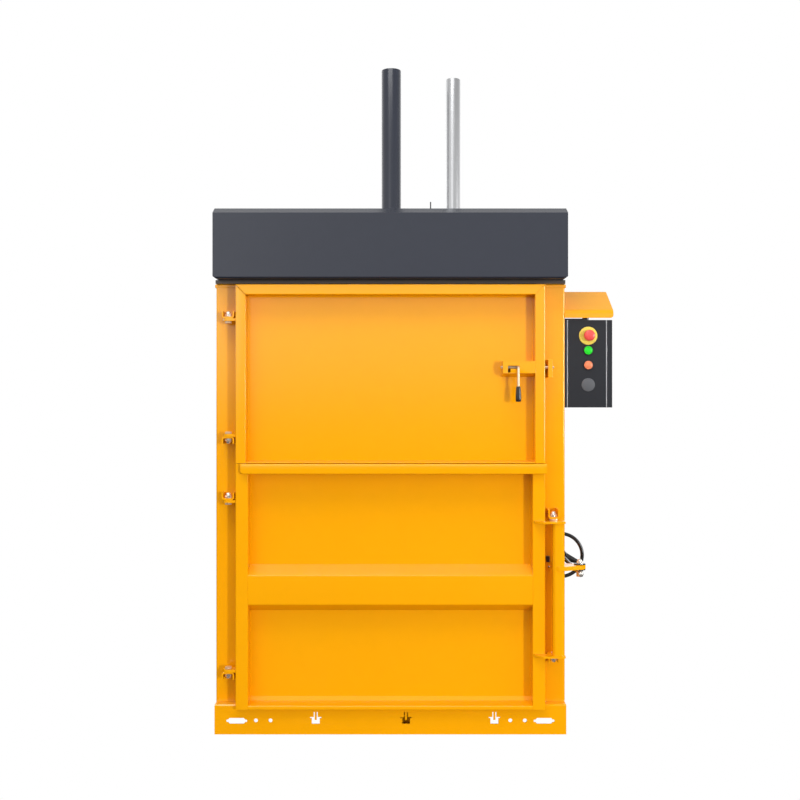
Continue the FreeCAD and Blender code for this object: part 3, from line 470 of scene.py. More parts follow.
def plate(name, outlines, low, high):
    """A flat plate from a filled 2D curve with holes, between two levels."""
    curve = bpy.data.curves.new(name, "CURVE")
    curve.dimensions = "2D"
    curve.fill_mode = "BOTH"
    curve.extrude = (high - low) / 2
    for outline in outlines:
        spline = curve.splines.new("POLY")
        spline.points.add(len(outline) - 1)
        flat = np.zeros((len(outline), 4))
        flat[:, :2] = np.asarray(outline)
        flat[:, 3] = 1
        spline.points.foreach_set("co", flat.ravel())
        spline.use_cyclic_u = True
    item = placed(name, curve)
    graph = bpy.context.evaluated_depsgraph_get()
    mesh = bpy.data.meshes.new_from_object(item.evaluated_get(graph))
    bpy.data.objects.remove(item)
    bpy.data.curves.remove(curve)
    co = np.empty(len(mesh.vertices) * 3)
    mesh.vertices.foreach_get("co", co)
    co = co.reshape(-1, 3) + [0, 0, (low + high) / 2]
    mesh.vertices.foreach_set("co", (co * MM).ravel())
    cleaned(mesh, flat=0.01)
    return placed(name, mesh)


def merge(name, items):
    """Several objects' meshes put into one object."""
    work = bmesh.new()
    for item in items:
        work.from_mesh(item.data)
    mesh = bpy.data.meshes.new(name)
    work.to_mesh(mesh)
    work.free()
    for item in items:
        bpy.data.objects.remove(item)
    return placed(name, mesh)


def soften(item, width, segments, angle):
    """Rounded edges from a Bevel modifier and smooth shading up to an angle."""
    mesh = item.data
    mesh.shade_smooth()
    mesh.set_sharp_from_angle(angle=math.radians(angle))
    if width:
        bevel = item.modifiers.new("rounding", "BEVEL")
        bevel.width = width * MM
        bevel.segments = segments
        bevel.limit_method = "ANGLE"
        bevel.angle_limit = math.radians(angle)
        bevel.harden_normals = True
        bevel.miter_outer = "MITER_ARC"


def dress(item, body, look, nodes, width=0.0, segments=3, angle=32):
    """Give a piece its rounding, its finish and its CAD body, and hide the CAD nodes it
    stands for.
    """
    soften(item, width, segments, angle)
    item.data.materials.clear()
    item.data.materials.append(LOOKS[look])
    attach(item, body)
    if nodes:
        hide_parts(*nodes)


def make_piece(name, stacks, body, look, nodes, width=0.0, segments=3):
    """A dressed piece from stacks of closed sections."""
    dress(new_mesh(name, *lofted(stacks)), body, look, nodes, width, segments)


def copied(node, body, look, width, angle=32):
    """A cleaned copy of a CAD node's mesh with rounded edges."""
    mesh = NODES[node].data.copy()
    mesh.name = node + "_shape"
    cleaned(mesh, 1e-5, math.radians(0.5))
    mesh.materials.clear()
    dress(placed(node + "_look", mesh), body, look, [node], width, 2, angle)


# ------------------------------------------------------------------ placement
# the body's half width, its back and front in Y, and the sheet's thickness
HALF, BACK, FRONT, SHEET = 531.0, 300.0, -300.0, 3.0
# Y of the doors' front and back and of the recessed panels' front; half their width
DOOR, DOOR_BACK, FACE, EDGE = -357.0, -302.0, -305.0, 465.0
# upright axes of the doors and of the lock clamp, in X and Y
HINGE = (-489.0, -335.0)
LOCK_X, LOCK_Y = LOCK = (491.0, -345.0)
# X of the lock screw, Y of the handwheel's middle and the level of both
PIN, WHEEL_Y, SCREW_Z = 570.0, 33.0, 488.0

# ------------------------------------------------------------- frame and walls
for node in ("base_front_panel", "base_rear_panel", "base_side_rails", "base_centre_beam",
             "side_walls", "rear_wall", "floor_plate", "top_plate"):
    copied(node, "frame", "yellow_paint", 1.1)
# the tray's warm, lighter paint is painted reflection of yellow light, not the tray's own
# colour
copied("header_tray", "frame", "tray_paint_painted_reflection", 1.2)
copied("header_cover", "frame", "dark_paint", 1.2)

# X of the posts' inner and outer faces, their depth and their levels
POST_IN, POST_OUT, POST_DEPTH = 431.0, HALF + 1.6, 60.0
POST_LOW, POST_TOP = 90.0, 1352.0
for name, low in (("front_posts", FRONT), ("rear_posts", BACK - POST_DEPTH)):
    high = low + POST_DEPTH
    tubes = []
    for number, side in enumerate((-1, 1)):
        outer = rounded([(POST_IN, low), (POST_OUT, low), (POST_OUT, high), (POST_IN, high)],
                        [3.6, 6, 6, 3.6])
        inner = rounded([(POST_IN + SHEET, low + SHEET), (HALF - SHEET, low + SHEET),
                         (HALF - SHEET, high - SHEET), (POST_IN + SHEET, high - SHEET)],
                        [1.5, 3, 3, 1.5])
        pair = [ring * (side, 1) for ring in (outer, inner)]
        tubes.append(plate(f"{name}_{number}", pair, POST_LOW, POST_TOP))
    dress(merge(name + "_look", tubes), "frame", "yellow_paint", [name])

# ---------------------------------------------------------------------- doors


def stile_profile(width):
    """A folded edge in section: front, both sides and the open hollow behind."""
    corners = [(0, 55), (0, 0), (width, 0), (width, 54.7), (width - SHEET, 54.7),
               (width - SHEET, SHEET), (SHEET, SHEET), (SHEET, 55)]
    return rounded(corners, [0.6, 3.6, 1.6, 0.3, 0.3, 1, 1, 0.6])


# levels of the upper door's edges, the widths of its stiles and top bar, and the
# seams between them at the left and right mitre
U_LOW, U_TOP, U_STILE, U_BAR = 819.6, 1357.4, 30.0, 30.6
SEAM_LEFT, SEAM_RIGHT = 2.4, 0.9
upper = [
    member(stile_profile(U_STILE), (-EDGE, DOOR, U_LOW), (-EDGE, DOOR, U_TOP - SEAM_LEFT),
           (1, 0, 0), (0, U_BAR / U_STILE)),
    member(stile_profile(U_STILE), (EDGE, DOOR, U_LOW), (EDGE, DOOR, U_TOP - SEAM_RIGHT),
           (-1, 0, 0), (0, U_BAR / U_STILE)),
    member(stile_profile(U_BAR), (-EDGE, DOOR, U_TOP), (EDGE, DOOR, U_TOP), (0, 0, -1),
           (U_STILE / U_BAR, U_STILE / U_BAR)),
    along("X", rounded([(DOOR, U_LOW), (DOOR_BACK, U_LOW), (DOOR_BACK, U_LOW + 7),
                        (FACE, U_LOW + 6), (DOOR, U_LOW + 2.8)], [1.2, 0.5, 0.3, 0.4, 1.2]),
          -435.1, 435.1),
    block((-435.2, 435.2), (FACE, DOOR_BACK), (U_LOW + 5, U_TOP - 30.4)),
]
make_piece("upper_door_look", upper, "upper_door", "yellow_paint", ["upper_door_shell"],
           0.5, 2)
copied("latch_housing", "upper_door", "yellow_paint", 0.7)

# levels of the lower door's edges and of its rail's top, and the width of its stiles
L_LOW, L_TOP, RAIL_TOP, L_STILE = 80.0, 787.9, 818.4, 37.5
lower = [
    member(stile_profile(L_STILE), (-EDGE, DOOR, L_LOW), (-EDGE, DOOR, L_TOP), (1, 0, 0),
           (0, 0)),
    member(stile_profile(L_STILE), (EDGE, DOOR, L_LOW), (EDGE, DOOR, L_TOP), (-1, 0, 0),
           (0, 0)),
    along("X", rounded([(DOOR, L_LOW), (DOOR + 3, L_LOW), (DOOR + 3, 88.5), (-341, 88.5),
                        (-337.5, 91.1), (DOOR_BACK, 92.4), (DOOR_BACK, 107.2), (FACE, 107),
                        (FACE - 4.5, 95), (DOOR, 91.5)],
                       [1.2, 0.5, 2, 1, 1, 0.3, 0.3, 0.4, 1.6, 3.0]), -427.6, 427.6),
    block((-427.7, 427.7), (FACE, DOOR_BACK), (105, L_TOP)),
    block((-EDGE, -448.5), (DOOR, DOOR_BACK), (L_TOP, RAIL_TOP), 3),
]
make_piece("lower_door_look", lower, "lower_door", "yellow_paint", ["lower_door_shell"],
           0.5, 2)


def rail_section(x, lift):
    """The rail's outer and inner outline at one X, its underside raised by lift."""
    rings = []
    for wall, radii in ((0, [3, 3, 3, 5]), (SHEET, 1.5)):
        front, back = -372 + wall, DOOR_BACK - wall
        low, high = L_TOP + lift + wall, RAIL_TOP - wall
        ring = rounded([(front, low), (back, low), (back, high), (front, high)], radii)
        rings.append(np.insert(ring, 0, x, axis=1))
    return np.stack(rings)


RAIL_LEFT, RAIL_RIGHT = -448.3, 468.0
RAIL_CORNER = 8.0  # the lower corner of the rail's left end is a quarter circle
bend = np.linspace(0, math.pi / 2, 7)
rail = np.stack([rail_section(RAIL_LEFT + RAIL_CORNER * (1 - math.cos(a)),
                              RAIL_CORNER * (1 - math.sin(a))) for a in bend]
                + [rail_section(RAIL_RIGHT, 0)])
index = np.arange(rail.size // 3).reshape(rail.shape[:3])
after = np.roll(index, -1, axis=2)
skin = np.stack([index[:-1], after[:-1], after[1:], index[1:]], -1).reshape(-1, 4)
ends = [np.stack([index[k, 0], after[k, 0], after[k, 1], index[k, 1]], -1) for k in (0, -1)]
dress(new_mesh("rail_look", rail.reshape(-1, 3), np.concatenate([skin, *ends]).tolist()),
      "lower_door", "yellow_paint", ["lower_door_rail"])

beam = rounded([(DOOR, 395.1), (DOOR, 483), (FACE, 509.4), (FACE, 505.6),
                (DOOR + 3, 480), (DOOR + 3, 398), (FACE, 372.4), (FACE, 368.7)],
               [3.4, 3.4, 0.3, 0.3, 1, 1, 0.3, 0.3])
make_piece("beam_look", [along("X", beam, -427.5, 427.5)], "lower_door", "yellow_paint",
           ["lower_door_beam"], 0.3, 2)

# --------------------------------------------------------------------- hinges
# level of each hinge strap's flat, and whether its legs and nut point up or down
EARS = ((1255.5, 1), (899.0, -1), (708.4, 1), (190.0, -1))
# at each pivot bolt: X, Y, level, way, the strap's legs and half width, the plate
# held under it, the bolt head over its flats and the head's height
PIVOTS = [(*HINGE, level, way, 22, 19, 8, 19, 6.6) for level, way in EARS]
PIVOTS += [(*LOCK, 652.7, 1, 28, 17, 11.2, 14, 6.6), (*LOCK, 242.0, -1, 22, 17, 6, 14, 3.2)]


def strap(name, x, y, level, way, leg, u):
    """A flat bar bent to a U, its legs pointing one way, welded to the post."""
    corners = np.array([(-u, leg), (-u, 0), (u, 0), (u, leg), (u - 4.6, leg), (u - 4.6, 5),
                        (-u + 4.6, 5), (-u + 4.6, leg)], float)
    shape = rounded(corners, [0.8, 8, 8, 0.8, 0.8, 3.5, 3.5, 0.8], 7)
    shape[:, 1] *= way
    shape += (x, level)
    return new_mesh(name, *lofted([along("Y", shape, y - 14, FRONT)]))


straps, bolts, nuts = [], [], []
for number, (x, y, level, way, leg, u, held, flats, height) in enumerate(PIVOTS):
    straps.append(strap(f"strap_{number}", x, y, level, way, leg, u))
    under = level - (held + 0.2) * way
    bolts.append(hexed(flats, height, (x, y, under), way=-way))
    bolts.append(spun([(CORE, 0), (6, 0), (6, held + 11), (CORE, held + 11)],
                      (x, y, under), way=way, count=32))
    nuts.append(hexed(19, 8.6, (x, y, level + 5 * way), dome=8.8, way=way))
bolts.append(spun(arc_turned([(6, 0), (13, 0), (13, 5), (6, 5)], [1.2, 1.2]),
                  (*LOCK, 647.6)))
dress(merge("strap_look", straps), "frame", "yellow_paint", ["pivot_brackets"], 0.7)
make_piece("bolt_look", bolts, "frame", "latch_steel", ["pivot_bolts"])
make_piece("nut_look", nuts, "frame", "zinc_plate", ["dome_nuts"])


def bolt_hole(x, y):
    """Outline of a hole that clears a pivot bolt."""
    spin = turns(32)
    return np.stack([x + 6.05 * np.cos(spin), y + 6.05 * np.sin(spin)], -1)


def eye(name, edge, level, way):
    """A flat ear: a half circle about the hinge axis with a tail to the door's edge."""
    x, y = HINGE
    radius, thick = 16, 8
    turn = np.linspace(math.pi / 2, 3 * math.pi / 2, 25)
    shape = np.stack([x + radius * np.cos(turn), y + radius * np.sin(turn)], -1)
    shape = np.concatenate([shape, [(edge + 1, y - radius), (edge + 1, y + radius)]])
    low = level - thick - 0.05 if way > 0 else level + 0.05
    return plate(name, [shape, bolt_hole(x, y)], low, low + thick)


for name, body, edge, spots in (("upper_door_ears", "upper_door", -462, EARS[:2]),
                                ("lower_door_ears", "lower_door", -EDGE, EARS[2:])):
    ears = [eye(f"{name}_{n}", edge, level, way) for n, (level, way) in enumerate(spots)]
    dress(merge(name + "_look", ears), body, "yellow_paint", [name], 0.7)

# ---------------------------------------------------------------------- latch
# level and Y of the latch bolt, X and Y of its hanging arm
LATCH_Z, LATCH_Y, ARM_X, ARM_Y = 1108.0, -347.0, 383.0, -367.0
tip = spun([(CORE, 0), (3, 0), (4, 1.2), (4, 158.8), (3, 160), (CORE, 160)],
           (332, LATCH_Y, LATCH_Z), "X", 32)
stem = bar_path([(ARM_X, LATCH_Y, LATCH_Z), (ARM_X, ARM_Y, LATCH_Z),
                 (ARM_X, ARM_Y, LATCH_Z - 66)], 6.5, 3.6)
make_piece("latch_bolt_look", [tip, stem], "upper_latch", "latch_steel", ["latch_bolt"])
grip = [(CORE, 0), (5, 0.1), (7, 1.2), (8.2, 4), (8.4, 9), (8.1, 20), (7.4, 32),
        (6.7, 41), (6.2, 44.4), (5.2, 45.8), (3.6, 46.2), (CORE, 46.2)]
make_piece("latch_grip_look", [spun(grip, (ARM_X, ARM_Y, LATCH_Z - 104))], "upper_latch",
           "black_plastic", ["latch_grip"])
keeper = [(471, FRONT), (474.2, DOOR + 1), (487, DOOR + 1), (487, DOOR + 4),
          (478.2, DOOR + 4), (475, FRONT)]
make_piece("keeper_look", [along("Z", keeper, LATCH_Z - 31, LATCH_Z + 23)], "frame",
           "yellow_paint", ["latch_keeper"], 0.8)

# ----------------------------------------------------------------- lock clamp
# levels of the hook plates' undersides and of the lever, and the hook plates' thickness
HOOK_LOW, HOOK_HIGH, LEVER_LOW, LEVER_TOP, HOOK = 242.05, 641.45, 501.6, 514.4, 6.0
# the clamp tube's middle and half width, its right side and the front of the hooks
tube_x, tube_y, tube_half = LOCK_X + 11, LOCK_Y - 25.6, 18.0
tube_right, tube_front = tube_x + tube_half, tube_y - tube_half - 5
hook = rounded([
    (LOCK_X - 60, DOOR - 9), (LOCK_X - 36, tube_front), (tube_right + 1.5, tube_front),
    (tube_right + 1.5, LOCK_Y + 20), (LOCK_X - 13, LOCK_Y + 20), (LOCK_X - 20, LOCK_Y + 8),
    (LOCK_X - 20, DOOR - 0.3), (LOCK_X - 60, DOOR - 0.3)],
    [2, 6, 8, 8, 5, 3, 1, 1])
hooks = [plate(f"hook_{n}", [hook, bolt_hole(*LOCK)], low, low + HOOK)
         for n, low in enumerate((HOOK_LOW, HOOK_HIGH))]
dress(merge("hook_look", hooks), "lock_clamp", "yellow_paint", ["hook_plates"], 0.7)
corner = np.array([(-1, -1), (1, -1), (1, 1), (-1, 1)], float)
tube = [rounded(corner * half + (tube_x, tube_y), radius, 8)
        for half, radius in ((tube_half - 0.3, 11), (tube_half - 4.3, 7))]
dress(plate("tube_look", tube, HOOK_LOW + HOOK, HOOK_HIGH - 0.05), "lock_clamp",
      "yellow_paint", ["clamp_tube"], 0.5)
lever = rounded([
    (LOCK_X - 2, tube_y - 8), (LOCK_X + 4, tube_front + 4), (tube_x, tube_front),
    (tube_right, tube_front + 2), (PIN + 7, LOCK_Y - 19), (PIN + 17, LOCK_Y - 8),
    (PIN + 17, LOCK_Y + 6), (PIN + 7, LOCK_Y + 18), (PIN - 20, LOCK_Y + 20),
    (LOCK_X + 12, LOCK_Y + 20), (LOCK_X + 12, LOCK_Y - 2), (LOCK_X - 2, tube_y + 8)],
    [8, 10, 14, 30, 12, 10, 10, 12, 20, 4, 6, 4], 8)
slot_hole = rounded([(PIN - 7, LOCK_Y - 7), (PIN + 15, LOCK_Y - 7),
                     (PIN + 15, LOCK_Y + 7), (PIN - 7, LOCK_Y + 7)], 6.8)
dress(plate("lever_look", [lever, slot_hole], LEVER_LOW, LEVER_TOP), "lock_clamp",
      "yellow_paint", ["clamp_lever"], 0.7)

copied("trunnion", "lock_trunnion", "zinc_plate", 0.6)
washers = [spun([(6, 0), (16.4, 0), (17, 0.5), (17, 2.5), (16.4, 3), (6, 3)],
                (PIN, LOCK_Y, low)) for low in (LEVER_LOW - 3.2, LEVER_TOP + 0.2)]
make_piece("washer_look", washers, "lock_trunnion", "black_paint", ["lever_washers"])
make_piece("stud_nut_look", [hexed(17, 7.0, (PIN, LOCK_Y, LEVER_TOP + 3.2), dome=6.5)],
           "lock_trunnion", "zinc_plate", ["trunnion_nut"])

# black paint on the lock screw, darker than its steel nose, stands in for the shade between
# hub and lever: painted shade
copied("lock_screw", "handwheel", "black_paint", 0.0, angle=25)
nose = [(CORE, 0), (4.1, 0.7), (7.5, 3.2), (9.1, 6.7), (9.5, 10), (9.5, 11.7), (CORE, 11.7)]
make_piece("screw_nose_look", [spun(nose, (PIN, LOCK_Y - 22.2, SCREW_Z), "Y", 64)],
           "handwheel", "zinc_plate", [])
copied("screw_bearing", "frame", "black_paint", 1.0)

# the rim is a torus, its first section repeated at the end
RIM, BAR, SECTIONS, POINTS = 71.9, 6.0, 120, 24
turn, round_bar = turns(SECTIONS)[:, None], turns(POINTS)[None, :]
reach = RIM + BAR * np.cos(round_bar)
rim = np.stack([PIN + reach * np.cos(turn),
                np.broadcast_to(WHEEL_Y + BAR * np.sin(round_bar), (SECTIONS, POINTS)),
                SCREW_Z + reach * np.sin(turn)], -1)
rim = np.concatenate([rim, rim[:1]])
dress(new_mesh("rim_look", rim.reshape(-1, 3), ring_faces(SECTIONS + 1, POINTS, caps=False)),
      "handwheel", "black_plastic", ["handwheel_rim"])
spokes = [spun(arc_turned([(8, 0), (19, 0), (19, 22), (14, 30), (8, 30)], [1.5, 3, 2]),
               (PIN, WHEEL_Y - 16, SCREW_Z), "Y", 64)]
# a spoke is an ellipse whose half width falls from 15.5 at the hub to 5.5 at the rim
HUB_END, SPOKE_END = 12, 71
spin = turns(32)[None, :, None]
for index in range(3):
    angle = math.radians(-22 + 120 * index)
    out = np.array([math.cos(angle), 0, math.sin(angle)])
    side = np.array([-math.sin(angle), 0, math.cos(angle)])
    reach = np.linspace(HUB_END, SPOKE_END, 12)[:, None, None]
    wide = 15.5 - 10 * ((reach - HUB_END) / (SPOKE_END - HUB_END)) ** 0.8
    wall = np.cos(spin) * side * wide + np.sin(spin) * np.array([0, 1, 0]) * wide * 0.6
    spokes.append(np.array([PIN, WHEEL_Y, SCREW_Z]) + out * reach + wall)
make_piece("spider_look", spokes, "handwheel", "black_plastic", ["handwheel_spider"])

make_piece("switch_look", [block((474, 484.5), (FRONT - 14, FRONT), (516.5, 534), 1.5)],
           "frame", "black_plastic", ["safety_switch"], 0.8)
make_piece("switch_tab_look", [block((475, 490), (FRONT - 2, FRONT), (492, 517))],
           "frame", "yellow_paint", [], 0.5)
tab_screw = [(CORE, 0), (2.4, 0.2), (3.4, 1.2), (3.5, 5), (CORE, 5)]
make_piece("switch_screw_look", [spun(tab_screw, (482.6, FRONT - 5, 500.3), "Y", 32)],
           "frame", "bright_steel", [])

# ---------------------------------------------------------------- control box
# X of the column of buttons, Y of the panel's front, levels of the box and its buttons
COLUMN, B_FRONT = 606.0, -286.0
BOX_LOW, BOX_HIGH = 986.5, 1254.9
ESTOP_Z, PLUG_Z = 1206.4, 1056.1
BUTTONS = (("green", 1161.9), ("orange", 1116.5))
box_parts = [block((534, 680), (B_FRONT + 3, B_FRONT + 130), (BOX_LOW, BOX_HIGH), 2.5),
             block((534, 541), (B_FRONT, B_FRONT + 3.2), (BOX_LOW, BOX_HIGH)),
             block((663.5, 680), (B_FRONT, B_FRONT + 3.2), (BOX_LOW, BOX_HIGH), 1)]
make_piece("box_look", box_parts, "frame", "panel_paint", ["control_box_case"], 0.8, 2)
copied("control_panel", "frame", "panel_paint", 0.4)
copied("panel_trims", "frame", "satin_steel", 0.4)
copied("control_box_mount", "frame", "dark_paint", 0.5)
copied("cable_gland", "frame", "black_plastic", 0.5)


def hood(lift):
    """The box's roof, a bent sheet: P(s, t) = path(s) with X between two edges.

    The path runs up the lip, round a bend and back up the slope; t carries X from
    the post to the free edge, which is drawn in along a quarter circle of radius c
    at the lip's lower corner: X = right - c + sqrt(c^2 - (c - s)^2) for s < c.
    """
    corner, right = 9.0, HALF + 150.0
    path = rounded([(-300, 1260.4), (-300, 1281.8), (-181, 1351.8)], [0, 17, 0], 10)
    drop = np.linspace(0, 1, 12)[:-1, None] ** 1.5 * corner
    path = np.concatenate([path[0] + drop * [0, 1], path[0] + [[0, corner]], path[1:]])
    run = np.concatenate([[0], np.cumsum(np.linalg.norm(np.diff(path, axis=0), axis=1))])
    edge = right - np.where(run < corner, corner - np.sqrt(
        np.clip(corner ** 2 - (corner - run) ** 2, 0, None)), 0)
    heading = np.gradient(path, axis=0)
    heading /= np.linalg.norm(heading, axis=1)[:, None]
    path = path + lift * np.stack([heading[:, 1], -heading[:, 0]], -1)
    across = np.linspace(0, 1, 9)[None, :]
    x = HALF + 0.3 + (edge[:, None] - HALF - 0.3) * across
    return np.stack([x, np.broadcast_to(path[:, :1], x.shape),
                     np.broadcast_to(path[:, 1:], x.shape)], -1)


sheets = [hood(0.0), hood(3.0)]
rows, columns = sheets[0].shape[:2]
index = np.arange(rows * columns).reshape(rows, columns)
size = rows * columns
quads = np.stack([index[:-1, :-1], index[:-1, 1:], index[1:, 1:], index[1:, :-1]], -1)
faces = quads.reshape(-1, 4).tolist() + (quads[..., ::-1] + size).reshape(-1, 4).tolist()
border = np.concatenate([index[0], index[1:, -1], index[-1, -2::-1], index[-2:0:-1, 0]])
after = np.roll(border, -1)
faces += np.stack([after, border, border + size, after + size], -1).tolist()
cheek = along("X", [(-297, 1264.4), (-201, 1290.4), (-181, 1349), (-296, 1281)], 531.2, 534)
cheek_verts, cheek_faces = lofted([cheek])
hood_verts = np.concatenate([sheet.reshape(-1, 3) for sheet in sheets] + [cheek_verts])
faces += [[v + 2 * size for v in face] for face in cheek_faces]
dress(new_mesh("hood_look", hood_verts, faces), "frame", "yellow_paint", ["control_roof"],
      0.8, 2)
collar = arc_turned([(8.05, 0), (27.2, 0), (28.2, 3), (8.05, 3)], [1.2, 0])
make_piece("collar_look", [spun(collar, (COLUMN, B_FRONT - 3, ESTOP_Z), "Y", 96)], "frame",
           "yellow_plastic", ["estop_collar"])
mushroom = [(CORE, 0), (6, 0.35), (10.5, 1.3), (14, 3), (16.2, 5.4), (17, 8), (16.9, 11),
            (15.6, 13.6), (13, 15.2), (9, 16), (8, 16.2), (8, 41), (CORE, 41)]
make_piece("estop_look", [spun(mushroom, (COLUMN, B_FRONT - 33, ESTOP_Z), "Y", 96)],
           "estop", "red_plastic", ["estop_button"])
bezel = arc_turned([(10.05, 0), (14.2, 0), (15, 2), (15, 4), (11, 4), (11, 14), (10.05, 14)],
                   [0.6, 1, 0.3, 0.3, 0.3])
bezels = [spun(bezel, (COLUMN, B_FRONT - 4, level), "Y", 64) for _, level in BUTTONS]
make_piece("bezel_look", bezels, "frame", "black_plastic", ["button_bezels"])
lens = arc_turned([(10.05, 0), (12.9, 0), (12.9, 1.6), (10.05, 1.6)], [0.8, 0.2])
cap = [(CORE, 0), (5, 0.15), (8, 0.6), (9.3, 1.4), (10, 2.8), (10, 20), (CORE, 20)]
for name, level in BUTTONS:
    make_piece(name + "_lens_look", [spun(lens, (COLUMN, B_FRONT - 5.6, level), "Y", 64)],
               "frame", name + "_plastic", [])
    make_piece(name + "_cap_look", [spun(cap, (COLUMN, B_FRONT - 8, level), "Y", 64)],
               name, name + "_plastic", [name + "_button"])
plug = [(CORE, 0), (19, 0), (20, 0.4), (20.4, 1.2), (20.4, 2), (CORE, 2)]
make_piece("plug_look", [spun(plug, (COLUMN, B_FRONT - 2, PLUG_Z), "Y", 96)], "frame",
           "grey_plastic", ["panel_plug"])

# ----------------------------------------------------------- hydraulic press
# levels of the barrel's foot, of its top and of the underside of its cap
TOP, CAP_TOP, CAP_LOW = 1362.0, 2107.0, 2093.0
barrel = [(25, 0), (59, 0), (60.25, 1.2), (60.25, 10.8), (59, 12), (32.2, 12),
          (32.2, CAP_TOP - 2 - TOP), (31.7, CAP_TOP - 0.7 - TOP), (30.4, CAP_TOP - TOP),
          (CORE, CAP_TOP - TOP), (CORE, CAP_LOW - TOP), (25, CAP_LOW - TOP)]
make_piece("barrel_look", [spun(barrel, (0, 0, TOP), "Z", 96)], "frame", "dark_paint",
           ["cylinder_barrel"])
guide = [(CORE, 0), (24.2, 0), (24.2, 742), (23.8, 743.6), (22.2, 745), (CORE, 745)]
make_piece("guide_look", [spun(guide, (206, 0, 1332), "Z", 96)], "press", "satin_steel",
           ["guide_rod"])
copied("piston_rod", "press", "bright_steel", 0.0, angle=25)
copied("press_plate", "press", "yellow_paint", 1.2)
copied("rod_bushes", "frame", "bronze", 0.0, angle=25)
copied("oil_tank", "frame", "dark_paint", 2.0)
copied("pump_motor", "frame", "cast_alloy", 1.5, angle=40)
copied("pump", "frame", "cast_alloy", 1.5, angle=40)
copied("valve_block", "frame", "bare_steel", 1.5)
copied("hydraulic_pipes", "frame", "hose_rubber", 0.0, angle=40)
copied("limit_switch", "frame", "black_plastic", 0.6, angle=40)

# -------------------------------------------------------------- light and view


def plain(tree, kind, level):
    """A shader node of one kind in a plain grey."""
    node = tree.nodes.new(kind)
    node.inputs["Color"].default_value = (level, level, level, 1)
    return node


def mixed(tree, factor, first, second):
    """The output of two shaders mixed by a factor."""
    node = tree.nodes.new("ShaderNodeMixShader")
    for index, source in enumerate((factor, first, second)):
        tree.links.new(source, node.inputs[index])
    return node.outputs[0]


# the camera sees the floor as a white ground, mirrors see it nearly black and matt
# faces get its grey light
floor_mesh = bpy.data.meshes.new("studio_floor")
floor_mesh.from_pydata([(-9, -9, 0), (9, -9, 0), (9, 9, 0), (-9, 9, 0)], [], [(0, 1, 2, 3)])
floor = placed("studio_floor", floor_mesh)
floor_look = bpy.data.materials.new("studio_floor")
floor_look.use_nodes = True
tree = floor_look.node_tree
tree.nodes.clear()
output = tree.nodes.new("ShaderNodeOutputMaterial")
ray = tree.nodes.new("ShaderNodeLightPath")
matt = plain(tree, "ShaderNodeBsdfDiffuse", 0.3)
dim = plain(tree, "ShaderNodeBsdfDiffuse", 0.004)
glow = plain(tree, "ShaderNodeEmission", 1.0)
ground = mixed(tree, ray.outputs["Is Glossy Ray"], matt.outputs[0], dim.outputs[0])
ground = mixed(tree, ray.outputs["Is Camera Ray"], ground, glow.outputs[0])
tree.links.new(ground, output.inputs["Surface"])
floor_mesh.materials.append(floor_look)

# the camera sees a white world, everything else a room lit from its walls
world = bpy.data.worlds.new("studio")
scene.world = world
world.use_nodes = True
tree = world.node_tree
tree.nodes.clear()
output = tree.nodes.new("ShaderNodeOutputWorld")
ray = tree.nodes.new("ShaderNodeLightPath")
seen = plain(tree, "ShaderNodeBackground", 1.0)
room = plain(tree, "ShaderNodeBackground", 1.0)
place = tree.nodes.new("ShaderNodeTexCoord")
parts = tree.nodes.new("ShaderNodeSeparateXYZ")
tree.links.new(place.outputs["Generated"], parts.inputs[0])
# the walls light up above the horizon, fade overhead, are brighter behind the baler
# and dimmer to its right
wall = ramp_node(tree, parts.outputs["Z"], -0.012, 0.045, 0.0, 1.27)
dome = ramp_node(tree, parts.outputs["Z"], 0.1, 0.6, 1.0, 0.4)
behind = ramp_node(tree, parts.outputs["Y"], 0.1, 0.6, 1.0, 1.5)
sideways = ramp_node(tree, parts.outputs["X"], -0.9, 0.9, 1.12, 0.8)
around = math_node(tree, "MULTIPLY", math_node(tree, "MULTIPLY", wall, dome), sideways)
around = math_node(tree, "MULTIPLY", around, behind)
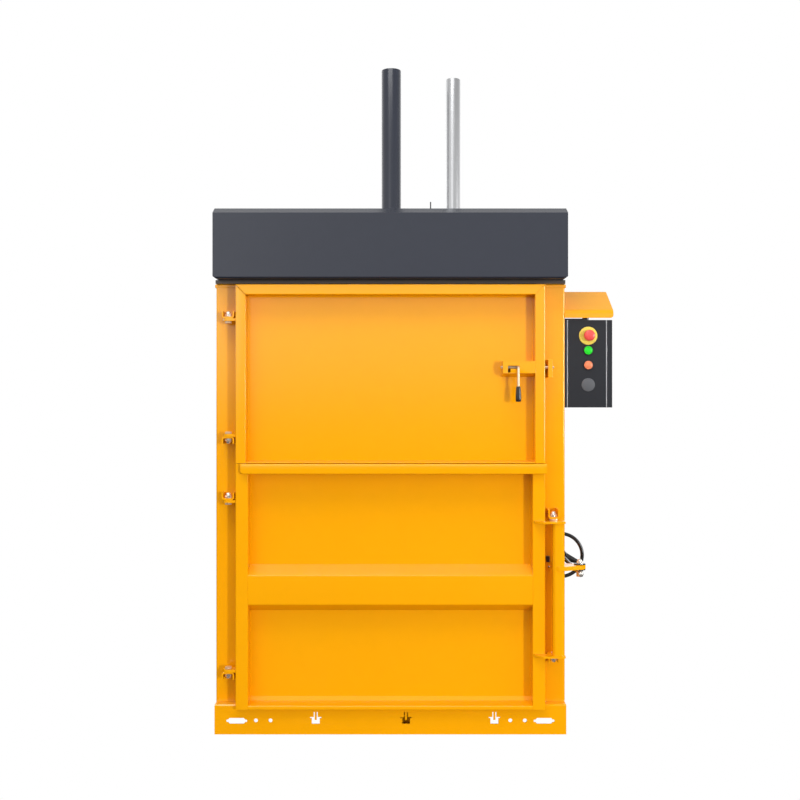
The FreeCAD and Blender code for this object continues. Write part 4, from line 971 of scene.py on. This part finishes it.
# a soft upright band of light ahead and to the left: 1 + 1.25 exp(-(8 (X + 0.31))^2)
off = math_node(tree, "ADD", parts.outputs["X"], None, 0.31)
off = math_node(tree, "MULTIPLY", off, None, 8.0)
bell = math_node(tree, "MULTIPLY", math_node(tree, "MULTIPLY", off, off), None, -1.0)
bell = math_node(tree, "EXPONENT", bell)
ahead = ramp_node(tree, parts.outputs["Y"], -0.6, -0.3, 1.25, 0.0)
band = math_node(tree, "ADD", math_node(tree, "MULTIPLY", bell, ahead), None, 1.0)
tree.links.new(math_node(tree, "MULTIPLY", around, band), room.inputs["Strength"])
shown = mixed(tree, ray.outputs["Is Camera Ray"], room.outputs[0], seen.outputs[0])
tree.links.new(shown, output.inputs["Surface"])


def lamp(name, position, target, watts, width, height, matt, shiny):
    """A soft rectangular light aimed at a point, seen by matt or shiny faces or both."""
    data = bpy.data.lights.new(name, "AREA")
    data.shape = "RECTANGLE"
    data.size = width
    data.size_y = height
    data.energy = watts
    item = placed(name, data)
    start, end = np.asarray(position, float), np.asarray(target, float)
    ahead = (end - start) / np.linalg.norm(end - start)
    item.location = position
    item.rotation_euler = (math.acos(-ahead[2]), 0, math.atan2(-ahead[0], ahead[1]))
    item.visible_diffuse = matt
    item.visible_glossy = shiny


# the overhead lamp also shows in shiny faces, and the strip shows only in them
for settings in (
        ("key", (2.6, -5.4, 1.05), (0, -0.3, 0.9), 143, 0.45, 0.45, True, False),
        ("overhead", (-0.65, -2.95, 5.4), (0, -0.2, 0.9), 120, 3.4, 1.9, True, True),
        ("fill", (-3.2, -4.2, 0.9), (0, -0.3, 0.8), 7, 1.4, 1.4, True, False),
        ("side", (4.2, -2.2, 1.2), (0.3, -0.3, 1.0), 14, 1.4, 2.4, True, False),
        ("edge", (4.4, -0.1, 1.9), (0.5, -0.3, 1.25), 60, 1.2, 1.2, True, False),
        ("strip", (4.2, -1.9, 1.2), (0.5, -0.35, 1.2), 115, 1.5, 1.1, False, True)):
    lamp(*settings)

# the photo's view: 3.2 m in front of the doors, image width 0.75 of the distance
camera_data = bpy.data.cameras.new("camera")
camera_data.lens = 48
camera_data.sensor_width = 36
camera_data.dof.use_dof = False
camera = placed("camera", camera_data)
camera.location = (0.029, -3.557, 1.0095)
camera.rotation_euler = (math.pi / 2, 0, 0)
scene.camera = camera
scene.view_settings.view_transform = "Standard"
